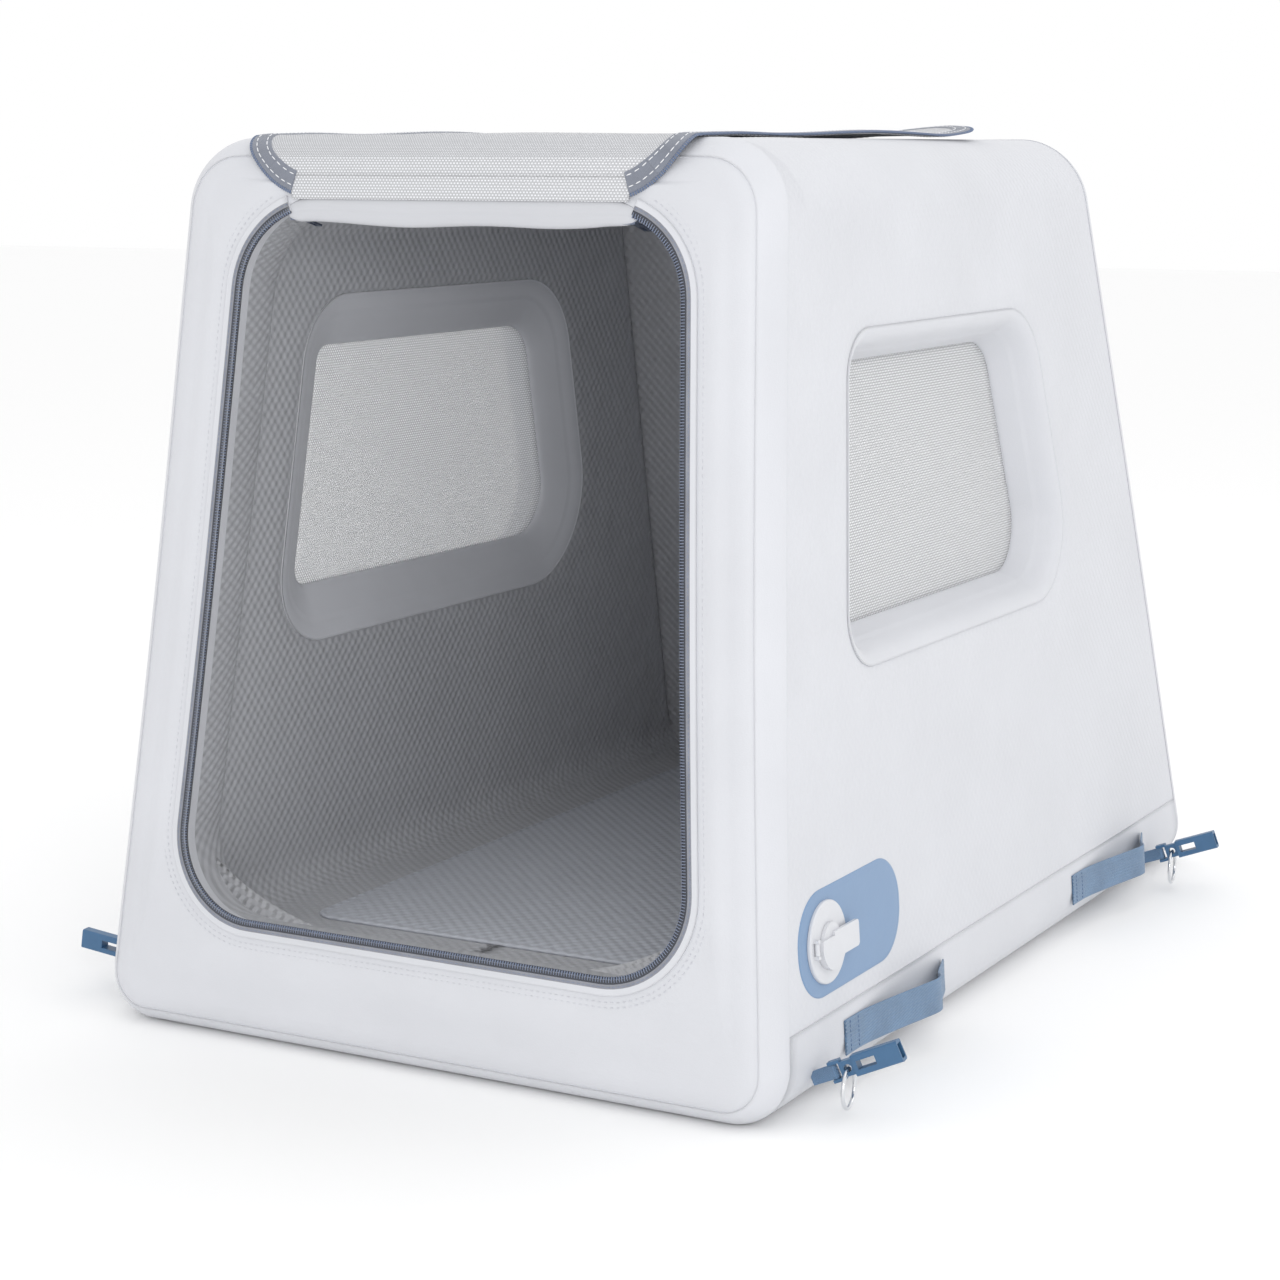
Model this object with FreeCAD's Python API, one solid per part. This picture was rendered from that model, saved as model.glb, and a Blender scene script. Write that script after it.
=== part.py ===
import FreeCAD, Part
import math
import os

# Inflatable dog travel kennel, in millimetres.
# +Z is up, the doorway faces -Y and the air valve is on the +X side.
# The origin is the middle of the underside.

# Overall shape: a frustum whose four sides lean in
height = 700.0
base_width = 610.0
roof_width = 513.0
base_length = 950.0
front_lean = 83.0
rear_lean = 221.0

# Air chambers
wall = 60.0
frame_depth = 60.0
floor_height = 72.0
roof_edge_radius = 55.0
base_edge_radius = 42.0
front_edge_radius = 30.0
rear_edge_radius = 38.0
cabin_edge_radius = 25.0

# Fabric skins and bands
skin = 0.8
front_seam_inset = 14.0
front_band_width = 26.0
rear_seam_inset = 14.0
rear_band_width = 34.0
tray_height = 68.0
mat_thickness = 3.0
mat_margin = 62.0
mat_corner_radius = 20.0

# Doorway and its zip
zip_inset = 57.0
zip_bottom = 85.0
zip_top = 661.0
zip_bottom_radius = 78.0
zip_top_radius = 80.0
tape_width = 11.0
tape_overhang = 2.0
coil_width = 3.5
coil_height = 2.6
soft_clearance = 0.4

# Door: a mesh panel with a bound edge, folded back over the roof
door_thickness = 2.4
mesh_thickness = 0.8
binding_width = 16.0
door_coil_width = 3.0
door_side_clearance = 0.5
hinge_above_doorway = 2.0
hinge_relief_depth = 0.8
fold_clearance = 0.35
header_drop = 11.0
header_depth = 9.0
hinge_half = 140.0

# Side windows, seen on the wall's slope
window_front_inset = 137.0
window_rear_inset = 213.0
window_bottom = 316.0
window_top = 552.0
window_front_radius = 34.0
window_rear_radius = 60.0
window_mesh_depth = 38.0
window_neck = 2.0
window_outer_flare = 17.0
window_inner_flare = 40.0
collar_thickness = 1.2

# Air valve
valve_from_front = 100.0
valve_z = 122.0
patch_length = 178.0
patch_height = 80.0
patch_radius = 38.0
patch_valve_offset = 45.0
flange_radius = 31.0
flange_thickness = 2.8
valve_tube_radius = 13.0
valve_tube_bore = 10.5
valve_tube_depth = 24.0
valve_bore_clearance = 0.3
stem_radius = 3.0
stem_clearance = 0.08
stem_head_radius = 5.5
stem_head_thickness = 1.5
stem_head_depth = 3.5
spider_depth = 12.0
spider_thickness = 2.0
seal_radius = 8.6
seal_thickness = 1.6
stem_tail = 3.0
spring_wire = 0.5
spring_radius = 4.3
spring_turns = 4
spring_sides = 8
cap_radius = 20.0
cap_thickness = 2.6
cap_gap = 0.2
cap_plug_radius = 9.9
cap_plug_depth = 2.6
cap_plug_wall = 1.6
cap_dome_radius = 15.0
cap_step_height = 2.2
cap_step_edge = 5.0
cap_tab_width = 20.0
cap_tab_reach = 42.0
cap_tab_radius = 3.0
cap_hinge_offset = 24.0
cap_pin_radius = 0.8
cap_knuckle_radius = 1.8
cap_knuckle_length = 9.0
cap_ear_thickness = 2.5
pin_clearance = 0.1

# Webbing loops, clips and rings along the base
webbing_width = 27.0
webbing_thickness = 1.6
loop_length = 185.0
loop_bulge = 22.0
loop_z = 43.0
front_loop_from_front = 123.0
rear_loop_from_rear = 345.0
loop_bend_radius = 7.0
clip_length = 54.0
clip_width = 16.0
clip_thickness = 10.0
clip_bar_radius = 1.7
clip_bar_gap = 0.3
clip_arm_thickness = 2.5
clip_slot_length = 15.0
clip_slot_width = 6.6
clip_mouth_width = 11.0
clip_mouth_height = 7.4
clip_mouth_depth = 13.0
clip_neck_thickness = 7.0
clip_eye_radius = 3.0
clip_eye_wall = 2.0
clip_bar_shoulder = 1.0
clip_neck_inset = 2.0
clip_slot_margin = 3.0
clip_eye_at = 11.5
clip_stand_off = 15.0
clip_z = 34.0
tab_thickness = 2.4
ring_radius = 15.0
ring_wire = 1.5
ring_drop = 0.8

# Zip sliders
slider_length = 11.0
slider_width = 7.0
slider_thickness = 4.4
pull_length = 24.0
pull_width = 6.0
pull_thickness = 1.6
pull_pin_radius = 0.9
pull_knuckle_wall = 0.9
pull_tuck = 74.0
pull_hole_margin = 3.0
pull_hole_length = 9.0
pull_hole_width = 3.2
slider_corner_radius = 1.2
slider_bar_drop = 1.0
slider_arm_thickness = 1.0
slider_arm_width = 3.2
slider_arm_margin = 1.2

# Each clip: side (+1 right, -1 left), place along Y, swing towards +Y, pitch upwards
front_clip_from_front = 75.0
rear_clip_from_rear = 142.0
front_clip_y = front_clip_from_front - base_length / 2
rear_clip_y = base_length / 2 - rear_clip_from_rear
clips = {
    "front_right": (1, front_clip_y, 8.0, 24.0),
    "front_left": (-1, front_clip_y, -6.0, 8.0),
    "rear_right": (1, rear_clip_y, 8.0, 20.0),
    "rear_left": (-1, rear_clip_y, 8.0, 12.0),
}

Vector = FreeCAD.Vector
side_slope = (base_width - roof_width) / 2 / height
front_slope = front_lean / height
rear_slope = rear_lean / height
FAR = 2000.0


# ---------------------------------------------------------------- planes

def plane_frame(origin, along, normal):
    """Placement whose local X runs along the plane and whose local Z leaves it."""
    u = Vector(along).normalize()
    n = Vector(normal).normalize()
    v = n.cross(u)
    matrix = FreeCAD.Matrix(
        u.x, v.x, n.x, origin.x,
        u.y, v.y, n.y, origin.y,
        u.z, v.z, n.z, origin.z,
        0, 0, 0, 1)
    return FreeCAD.Placement(matrix)


front_plane = plane_frame(
    Vector(0, -base_length / 2, 0), Vector(1, 0, 0), Vector(0, -1, front_slope))
rear_plane = plane_frame(
    Vector(0, base_length / 2, 0), Vector(-1, 0, 0), Vector(0, 1, rear_slope))
right_plane = plane_frame(
    Vector(base_width / 2, 0, 0), Vector(0, 1, 0), Vector(1, 0, side_slope))
side_stretch = math.hypot(1, side_slope)
front_stretch = math.hypot(1, front_slope)
rear_stretch = math.hypot(1, rear_slope)


def place(shape, frame):
    """A copy of a shape built in a plane's own axes, put where the plane is."""
    placed = shape.copy()
    placed.Placement = frame.multiply(placed.Placement)
    return placed


def mirror(shape):
    """The same shape on the other side of the kennel."""
    return shape.mirror(Vector(0, 0, 0), Vector(1, 0, 0))


def beyond(frame, offset):
    """A block that fills everything further out than offset from a plane."""
    block = Part.makeBox(2 * FAR, 2 * FAR, FAR, Vector(-FAR, -FAR, offset))
    return place(block, frame)


def below(level):
    """A block that fills everything below a height."""
    return Part.makeBox(2 * FAR, 2 * FAR, FAR, Vector(-FAR, -FAR, level - FAR))


# --------------------------------------------------------------- outlines

def inset_polygon(points, distance):
    """A counter-clockwise polygon with each edge moved inwards."""
    count = len(points)
    lines = []
    for i in range(count):
        start = Vector(*points[i], 0)
        along = (Vector(*points[(i + 1) % count], 0) - start).normalize()
        inward = Vector(-along.y, along.x, 0)
        lines.append((start + inward * distance, along))
    result = []
    for i in range(count):
        p, a = lines[i - 1]
        q, b = lines[i]
        cross = a.x * b.y - a.y * b.x
        t = ((q.x - p.x) * b.y - (q.y - p.y) * b.x) / cross
        result.append((p.x + a.x * t, p.y + a.y * t))
    return result


def rounded_wire(points, radii):
    """A closed wire through the points, with an arc at each corner that has a radius."""
    count = len(points)
    entries = []
    for i in range(count):
        corner = Vector(*points[i], 0)
        back = (Vector(*points[i - 1], 0) - corner).normalize()
        ahead = (Vector(*points[(i + 1) % count], 0) - corner).normalize()
        half = back.getAngle(ahead) / 2
        radius = radii[i]
        if radius <= 0:
            entries.append((corner, corner, corner))
            continue
        reach = radius / math.tan(half)
        centre = corner + (back + ahead).normalize() * (radius / math.sin(half))
        middle = centre + (corner - centre).normalize() * radius
        entries.append((corner + back * reach, middle, corner + ahead * reach))
    edges = []
    for i in range(count):
        start, middle, end = entries[i]
        if (end - start).Length > 1e-6:
            edges.append(Part.Arc(start, middle, end).toShape())
        following = entries[(i + 1) % count][0]
        if (following - end).Length > 1e-6:
            edges.append(Part.makeLine(end, following))
    return Part.Wire(edges)


def outline(points, radii, distance=0.0):
    """A rounded outline moved inwards, its corners still about the same centres."""
    moved = inset_polygon(points, distance)
    return rounded_wire(moved, [max(radius - distance, 0.5) for radius in radii])


def slab(wire, start, thickness):
    """The inside of an outline, from one offset to another along local Z."""
    solid = Part.Face(wire).extrude(Vector(0, 0, thickness))
    solid.translate(Vector(0, 0, start))
    return solid


def ring_slab(outer, inner, start, thickness):
    """The band between two outlines."""
    return slab(outer, start, thickness).cut(slab(inner, start, thickness))


def funnel(near_wire, near_offset, far_wire, far_offset):
    """A straight-sided tunnel from one outline to a like one at another depth."""
    near = near_wire.copy()
    near.translate(Vector(0, 0, near_offset))
    far = far_wire.copy()
    far.translate(Vector(0, 0, far_offset))
    return Part.makeLoft([near, far], True, True)


def ribbon(points, radii, thickness):
    """A flat strap of even thickness along a path, as a face in the XY plane."""
    left = []
    right = []
    left_radii = []
    right_radii = []
    half = thickness / 2
    for i, point in enumerate(points):
        here = Vector(*point, 0)
        before = Vector(*points[max(i - 1, 0)], 0)
        after = Vector(*points[min(i + 1, len(points) - 1)], 0)
        into = (here - before).normalize() if i else (after - here).normalize()
        out = (after - here).normalize() if i < len(points) - 1 else into
        side = Vector(-into.y - out.y, into.x + out.x, 0).normalize()
        scale = half / (side.x * -into.y + side.y * into.x)
        left.append(here + side * scale)
        right.append(here - side * scale)
        turn = into.x * out.y - into.y * out.x
        bend = radii[i]
        change = half if turn > 0 else -half
        left_radii.append(bend - change if bend else 0)
        right_radii.append(bend + change if bend else 0)
    corners = [(p.x, p.y) for p in left + right[::-1]]
    return Part.Face(rounded_wire(corners, left_radii + right_radii[::-1]))


# ------------------------------------------------------------------ body

def frustum(offset, base_level, roof_level, front_offset=None):
    """The plain six-sided body with its sides moved out by offset."""
    front_offset = offset if front_offset is None else front_offset

    def corners(z):
        x = base_width / 2 - side_slope * z + offset * side_stretch
        front = -base_length / 2 + front_slope * z - front_offset * front_stretch
        rear = base_length / 2 - rear_slope * z + offset * rear_stretch
        return [Vector(-x, front, z), Vector(x, front, z), Vector(x, rear, z), Vector(-x, rear, z)]

    low = corners(base_level)
    high = corners(roof_level)
    loops = [low[::-1], high]
    loops += [[low[i], low[(i + 1) % 4], high[(i + 1) % 4], high[i]] for i in range(4)]
    faces = [Part.Face(Part.makePolygon(loop + [loop[0]])) for loop in loops]
    return Part.Solid(Part.Shell(faces))


def long_edges(shape, high):
    """The two edges that run from front to rear, along the roof or along the base."""
    middle = shape.BoundBox.Center.z
    found = []
    for edge in shape.Edges:
        along = edge.tangentAt(edge.FirstParameter)
        if abs(along.y) > 0.99 and (edge.CenterOfMass.z > middle) == high:
            found.append(edge)
    return found


def end_loop(shape, front):
    """The edges round the front or the rear face."""
    sign = -1 if front else 1
    flats = [face for face in shape.Faces if isinstance(face.Surface, Part.Plane)]
    return max(flats, key=lambda face: sign * face.CenterOfMass.y).OuterWire.Edges


def rounded_body(offset):
    """The inflated outer shape, offset outwards, standing on z = skin - offset."""
    body = frustum(offset, skin - offset, height + offset)
    body = body.makeFillet(roof_edge_radius + offset, long_edges(body, True))
    body = body.makeFillet(base_edge_radius + offset, long_edges(body, False))
    body = body.makeFillet(front_edge_radius + offset, end_loop(body, True))
    return body.makeFillet(rear_edge_radius + offset, end_loop(body, False))


def cabin_space():
    """The hollow inside the walls, rounded along the floor and the roof."""
    space = frustum(-wall, floor_height, height - wall, -frame_depth)
    return space.makeFillet(cabin_edge_radius, long_edges(space, True) + long_edges(space, False))


def end_outline(slope, stretch, inset):
    """The rounded edge of the front or rear face, in that plane's own axes."""
    top = height * stretch
    points = [(-base_width / 2, skin), (base_width / 2, skin), (roof_width / 2, top), (-roof_width / 2, top)]
    radii = [base_edge_radius, base_edge_radius, roof_edge_radius, roof_edge_radius]
    return outline(points, radii, inset)


# --------------------------------------------------------------- doorway

def doorway_points(inset, bottom, top):
    """A trapezoid on the front slope whose sides keep the same inset from the body's."""
    def half_width(z):
        return base_width / 2 - side_slope * z - inset * side_stretch
    low = half_width(bottom)
    high = half_width(top)
    return [
        (-low, bottom * front_stretch), (low, bottom * front_stretch),
        (high, top * front_stretch), (-high, top * front_stretch)]


zip_points = doorway_points(zip_inset, zip_bottom, zip_top)
zip_radii = [zip_bottom_radius, zip_bottom_radius, zip_top_radius, zip_top_radius]
doorway_inset = tape_width - tape_overhang
coil_inner_inset = tape_width + coil_width
door_inset = coil_inner_inset + door_side_clearance
hinge_z = zip_top - doorway_inset / front_stretch + hinge_above_doorway
hinge_v = hinge_z * front_stretch
door_offset = skin + soft_clearance + door_thickness / 2
door_points = doorway_points(
    zip_inset + door_inset / side_stretch, zip_bottom + door_inset / front_stretch, hinge_z)
door_radii = [radius - door_inset for radius in zip_radii]


def doorway_outline(distance):
    return outline(zip_points, zip_radii, distance)


def door_outline(distance):
    return outline(door_points, door_radii, distance)


def hinge_block():
    """The middle of the doorway's top edge, where the zip stops for the hinge."""
    lowest = hinge_v - zip_top_radius / 2
    return Part.makeBox(2 * hinge_half, FAR, FAR, Vector(-hinge_half, lowest, -FAR / 2))


def zip_band(outer, inner, start, thickness):
    """A band round the doorway that stops at both ends of the hinge."""
    band = ring_slab(doorway_outline(outer), doorway_outline(inner), start, thickness)
    return place(band.cut(hinge_block()), front_plane)


def closed_door_parts():
    """The door's pieces as they lie when it is shut, in the front plane's axes."""
    middle = door_offset
    half = door_thickness / 2
    stop = hinge_block()
    coil = ring_slab(door_outline(0), door_outline(door_coil_width), middle - half, door_thickness)
    edge_inset = door_coil_width + binding_width
    edging = ring_slab(
        door_outline(door_coil_width), door_outline(edge_inset), middle - half, door_thickness)
    coil = coil.cut(stop)
    edging = edging.cut(stop)
    whole = slab(door_outline(0), middle - mesh_thickness / 2, mesh_thickness)
    ring = ring_slab(door_outline(0), door_outline(edge_inset), middle - half, door_thickness)
    return {"coil": coil, "binding": edging, "mesh": whole.cut(ring.cut(stop))}


def fold_rise():
    """How far up the slope from the hinge the open door bends over the roof."""
    normal_z = front_slope / front_stretch
    fold_v = (height + door_offset - normal_z * door_offset) * front_stretch
    return fold_v - hinge_v


def open_door_parts():
    """Each door piece, cut in two at the roof's edge and turned to where it lies open."""
    rise = fold_rise()
    half_turn = FreeCAD.Placement(
        Vector(0, 0, 0), FreeCAD.Rotation(Vector(1, 0, 0), -180), Vector(0, hinge_v, door_offset))
    bend = 90 - math.degrees(math.atan(front_slope))
    half_gap = door_thickness / 2 * math.tan(math.radians(bend / 2)) + fold_clearance
    fold = FreeCAD.Placement(
        Vector(0, 0, 0), FreeCAD.Rotation(Vector(1, 0, 0), -bend), Vector(0, hinge_v + rise, door_offset))
    fold_line = hinge_v - rise
    upper_block = Part.makeBox(2 * FAR, FAR, FAR, Vector(-FAR, fold_line + half_gap, -FAR / 2))
    lower_block = Part.makeBox(2 * FAR, FAR, FAR, Vector(-FAR, fold_line - half_gap - FAR, -FAR / 2))
    hinge_relief = Part.makeBox(2 * FAR, FAR, FAR, Vector(-FAR, hinge_v - hinge_relief_depth, -FAR / 2))
    parts = {}
    for name, solid in closed_door_parts().items():
        upper = solid.common(upper_block).cut(hinge_relief)
        lower = solid.common(lower_block)
        parts[f"door_{name}_upper"] = place(place(upper, half_turn), front_plane)
        parts[f"door_{name}_lower"] = place(place(place(lower, half_turn), fold), front_plane)
    return parts


def door_header():
    """The soft roll under the doorway's top edge that the door hangs from."""
    top = hinge_v - hinge_above_doorway * front_stretch
    front = -soft_clearance
    points = [
        (front - header_depth, top - header_drop), (front, top - header_drop),
        (front, top), (front - header_depth, top)]
    face = Part.Face(rounded_wire(points, [header_depth / 3, header_depth / 3, 0, 0]))
    roll = face.extrude(Vector(0, 0, 2 * hinge_half))
    turned = plane_frame(Vector(hinge_half, 0, 0), Vector(0, 0, 1), Vector(-1, 0, 0))
    opening = slab(doorway_outline(doorway_inset), -2 * header_depth, 4 * header_depth)
    return place(place(roll, turned).common(opening), front_plane)


# --------------------------------------------------------------- windows

def window_points():
    """The window's corners on the right wall, in (y, up the slope)."""
    def front_edge(z):
        return -base_length / 2 + front_slope * z + window_front_inset

    def rear_edge(z):
        return base_length / 2 - rear_slope * z - window_rear_inset
    low = window_bottom
    high = window_top
    return [
        (front_edge(low), low * side_stretch), (rear_edge(low), low * side_stretch),
        (rear_edge(high), high * side_stretch), (front_edge(high), high * side_stretch)]


def window_outline(inset):
    radii = [window_front_radius, window_rear_radius, window_rear_radius, window_front_radius]
    return outline(window_points(), radii, inset)


def window_space(margin):
    """The window's hollow: a flare outside, a short neck at the mesh, a flare inside."""
    neck_inset = window_outer_flare - margin
    neck_start = -window_mesh_depth - window_neck
    outer = funnel(window_outline(-margin), 0, window_outline(neck_inset), -window_mesh_depth)
    neck = slab(window_outline(neck_inset), neck_start, window_neck)
    inner = funnel(
        window_outline(neck_inset), neck_start,
        window_outline(neck_inset - window_inner_flare), -wall)
    return outer.fuse(neck).fuse(inner).removeSplitter()


# ----------------------------------------------------------------- valve

def disc(radius, start, thickness, x=0.0, y=0.0):
    return Part.makeCylinder(radius, thickness, Vector(x, y, start))


def tube(outer, inner, start, thickness):
    return disc(outer, start, thickness).cut(disc(inner, start, thickness))


def valve_parts():
    """The valve's pieces in its own axes: local Z leaves the wall, local X runs rearwards."""
    seat = skin
    top = seat + flange_thickness
    patch_box = [
        (-patch_length / 2, -patch_height / 2), (patch_length / 2, -patch_height / 2),
        (patch_length / 2, patch_height / 2), (-patch_length / 2, patch_height / 2)]
    shifted = [(x + patch_valve_offset, y) for x, y in patch_box]
    patch = slab(rounded_wire(shifted, [patch_radius] * 4), 0, skin)
    patch = patch.cut(disc(valve_tube_radius, 0, skin))

    flange = tube(flange_radius, valve_tube_radius, seat, flange_thickness)
    rim = [edge for edge in flange.Edges
           if abs(edge.CenterOfMass.z - top) < 1e-6 and abs(edge.BoundBox.XLength - 2 * flange_radius) < 0.1]
    flange = flange.makeFillet(flange_thickness / 2, rim)
    hinge_height = top + cap_knuckle_radius + cap_gap
    ear_rise = cap_knuckle_radius + cap_gap + cap_knuckle_radius
    knuckle_half = cap_knuckle_length / 2
    for side in (-1, 1):
        low = side * (knuckle_half + cap_gap) if side > 0 else -knuckle_half - cap_gap - cap_ear_thickness
        ear = Part.makeBox(
            2 * cap_knuckle_radius, cap_ear_thickness, ear_rise,
            Vector(-cap_hinge_offset - cap_knuckle_radius, low, top))
        flange = flange.fuse(ear)
    pin_length = cap_knuckle_length + 2 * cap_gap + 2 * cap_ear_thickness
    pin = Part.makeCylinder(
        cap_pin_radius, pin_length, Vector(-cap_hinge_offset, -pin_length / 2, hinge_height), Vector(0, 1, 0))
    flange = flange.cut(pin).removeSplitter()

    body = tube(valve_tube_radius, valve_tube_bore, top - valve_tube_depth, valve_tube_depth)

    spider = disc(valve_tube_bore, -spider_depth - spider_thickness, spider_thickness)
    spider = spider.cut(disc(stem_radius + stem_clearance, -spider_depth - spider_thickness, spider_thickness))
    port_radius = (valve_tube_bore - stem_radius) / 3
    port_centre = (valve_tube_bore + stem_radius) / 2
    for i in range(4):
        angle = math.pi / 4 + i * math.pi / 2
        spider = spider.cut(disc(
            port_radius, -spider_depth - spider_thickness, spider_thickness,
            port_centre * math.cos(angle), port_centre * math.sin(angle)))

    seal_top = -spider_depth - spider_thickness - cap_gap / 2
    seal = tube(seal_radius, stem_radius, seal_top - seal_thickness, seal_thickness)
    foot = seal_top - seal_thickness
    stem = disc(stem_radius, foot, -stem_head_depth - foot)
    stem = stem.fuse(disc(stem_head_radius, -stem_head_depth, stem_head_thickness))
    stem = stem.fuse(disc(stem_radius + 1, foot - stem_tail, stem_tail)).removeSplitter()

    gap = spider_depth - stem_head_depth
    rise = gap - 2 * spring_wire
    helix = Part.makeHelix(rise / spring_turns, rise, spring_radius)
    corners = []
    for i in range(spring_sides):
        angle = 2 * math.pi * (i + 0.5) / spring_sides
        corners.append(Vector(spring_radius + spring_wire * math.cos(angle), 0, spring_wire * math.sin(angle)))
    section = Part.makePolygon(corners + corners[:1])
    spring = Part.Wire(helix.Edges).makePipeShell([section], True, True)
    spring.translate(Vector(0, 0, -spider_depth + spring_wire))

    base = top + cap_gap
    cap = disc(cap_dome_radius, base, cap_thickness)
    cap = cap.fuse(tube(cap_plug_radius, cap_plug_radius - cap_plug_wall, base - cap_plug_depth, cap_plug_depth))
    step = disc(cap_radius, base, cap_thickness + cap_step_height)
    step = step.common(Part.makeBox(FAR, FAR, FAR, Vector(-FAR / 2, cap_step_edge - FAR, 0)))
    tab_top = cap_step_edge + cap_tab_radius
    tab_points = [
        (0, tab_top - cap_tab_width), (cap_tab_reach, tab_top - cap_tab_width),
        (cap_tab_reach, tab_top), (0, tab_top)]
    tab = slab(rounded_wire(tab_points, [0, cap_tab_radius, cap_tab_radius, 0]),
               base + cap_step_height, cap_thickness)
    cap = cap.fuse(step).fuse(tab)
    knuckle = Part.makeCylinder(
        cap_knuckle_radius, cap_knuckle_length,
        Vector(-cap_hinge_offset, -knuckle_half, hinge_height), Vector(0, 1, 0))
    bridge = Part.makeBox(
        cap_hinge_offset - cap_radius + cap_knuckle_radius, cap_knuckle_length, cap_knuckle_radius,
        Vector(-cap_hinge_offset, -knuckle_half, base))
    running = Part.makeCylinder(
        cap_pin_radius + pin_clearance, pin_length,
        Vector(-cap_hinge_offset, -pin_length / 2, hinge_height), Vector(0, 1, 0))
    cap = cap.fuse(knuckle).fuse(bridge).cut(running).removeSplitter()
    return {
        "valve_patch": patch, "valve_flange": flange, "valve_tube": body, "valve_spider": spider,
        "valve_seal": seal, "valve_stem": stem, "valve_spring": spring,
        "valve_cap": cap, "valve_cap_pin": pin}


def valve_frame():
    """The valve's axes on the right wall."""
    spot = Vector(base_width / 2 - side_slope * valve_z, valve_from_front - base_length / 2, valve_z)
    return plane_frame(spot, Vector(0, 1, 0), Vector(1, 0, side_slope))


# ------------------------------------------------- webbing, clips, rings

def webbing_loop(start_y):
    """A strap sewn flat at its front end, bowed out, and turned back into the wall."""
    flat = skin + webbing_thickness / 2
    peak = start_y + 0.72 * loop_length
    points = [
        (start_y, flat), (start_y + 0.14 * loop_length, flat),
        (peak, loop_bulge), (start_y + loop_length, flat + webbing_thickness)]
    face = ribbon(points, [0, loop_length / 4, loop_bend_radius, 0], webbing_thickness)
    strap = face.extrude(Vector(0, 0, webbing_width))
    middle = loop_z * side_stretch
    along_wall = FreeCAD.Matrix(
        1, 0, 0, 0,
        0, 0, -1, middle + webbing_width / 2,
        0, 1, 0, 0,
        0, 0, 0, 1)
    return place(place(strap, FreeCAD.Placement(along_wall)), right_plane)


def clip_frame(place_y, swing, pitch):
    """A right-hand clip's axes: local X to its mouth, local Y across its thickness."""
    a = math.radians(swing)
    b = math.radians(pitch)
    length = Vector(math.cos(a) * math.cos(b), math.sin(a) * math.cos(b), math.sin(b))
    across = Vector(-math.sin(a), math.cos(a), 0)
    bar_x = base_width / 2 - side_slope * clip_z + clip_stand_off
    return plane_frame(Vector(bar_x, place_y, clip_z), length, length.cross(across))


def box_between(low, high):
    size = Vector(*high) - Vector(*low)
    return Part.makeBox(size.x, size.y, size.z, Vector(*low))


def clip_body():
    """The moulded clip: a bar for the tab, an eye for the ring, a slot and a mouth."""
    half_width = clip_width / 2
    half_thick = clip_thickness / 2
    half_neck = clip_neck_thickness / 2
    eye_end = clip_eye_at + clip_eye_radius + clip_eye_wall
    body_start = clip_bar_radius + clip_bar_gap + tab_thickness + clip_bar_shoulder
    head = box_between((eye_end, -half_thick, -half_width), (clip_length, half_thick, half_width))
    head = head.makeFillet(half_thick / 3, [e for e in head.Edges if abs(e.tangentAt(0).x) > 0.9])
    neck_half_width = half_width - clip_neck_inset
    neck = box_between((body_start, -half_neck, -neck_half_width), (eye_end, half_neck, neck_half_width))
    clip = head.fuse(neck)
    bar_half = half_width - clip_arm_thickness
    for side in (-1, 1):
        low = bar_half if side > 0 else -half_width
        clip = clip.fuse(box_between(
            (-clip_bar_radius - clip_bar_shoulder, -half_neck, low),
            (body_start + clip_bar_shoulder, half_neck, low + clip_arm_thickness)))
    clip = clip.fuse(Part.makeCylinder(clip_bar_radius, 2 * bar_half, Vector(0, 0, -bar_half)))
    slot_start = eye_end + clip_slot_margin
    clip = clip.cut(box_between(
        (slot_start, -half_thick, -clip_slot_width / 2),
        (slot_start + clip_slot_length, half_thick, clip_slot_width / 2)))
    clip = clip.cut(box_between(
        (clip_length - clip_mouth_depth, -clip_mouth_height / 2, -clip_mouth_width / 2),
        (clip_length, clip_mouth_height / 2, clip_mouth_width / 2)))
    eye = Part.makeCylinder(
        clip_eye_radius, clip_thickness, Vector(clip_eye_at, -half_thick, 0), Vector(0, 1, 0))
    return clip.cut(eye).removeSplitter()


def clip_tab():
    """The webbing tab that is sewn to the wall and folded round the clip's bar."""
    eye = clip_bar_radius + clip_bar_gap
    half_width = clip_width / 2 - clip_arm_thickness - clip_bar_gap
    tab = Part.makeCylinder(eye + tab_thickness / 2, 2 * half_width, Vector(0, 0, -half_width))
    tab = tab.fuse(box_between(
        (-2 * clip_stand_off, -tab_thickness / 2, -half_width), (0, tab_thickness / 2, half_width)))
    return tab.cut(Part.makeCylinder(eye, 2 * half_width, Vector(0, 0, -half_width))).removeSplitter()


def hanging_ring(frame, swing):
    """The ring that hangs straight down from the clip's eye, and the point it turns about."""
    eye = frame.multVec(Vector(clip_eye_at, 0, 0)) - Vector(0, 0, ring_drop)
    a = math.radians(swing)
    return Part.makeTorus(
        ring_radius, ring_wire, eye - Vector(0, 0, ring_radius), Vector(math.cos(a), math.sin(a), 0))


# --------------------------------------------------------------- sliders

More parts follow.
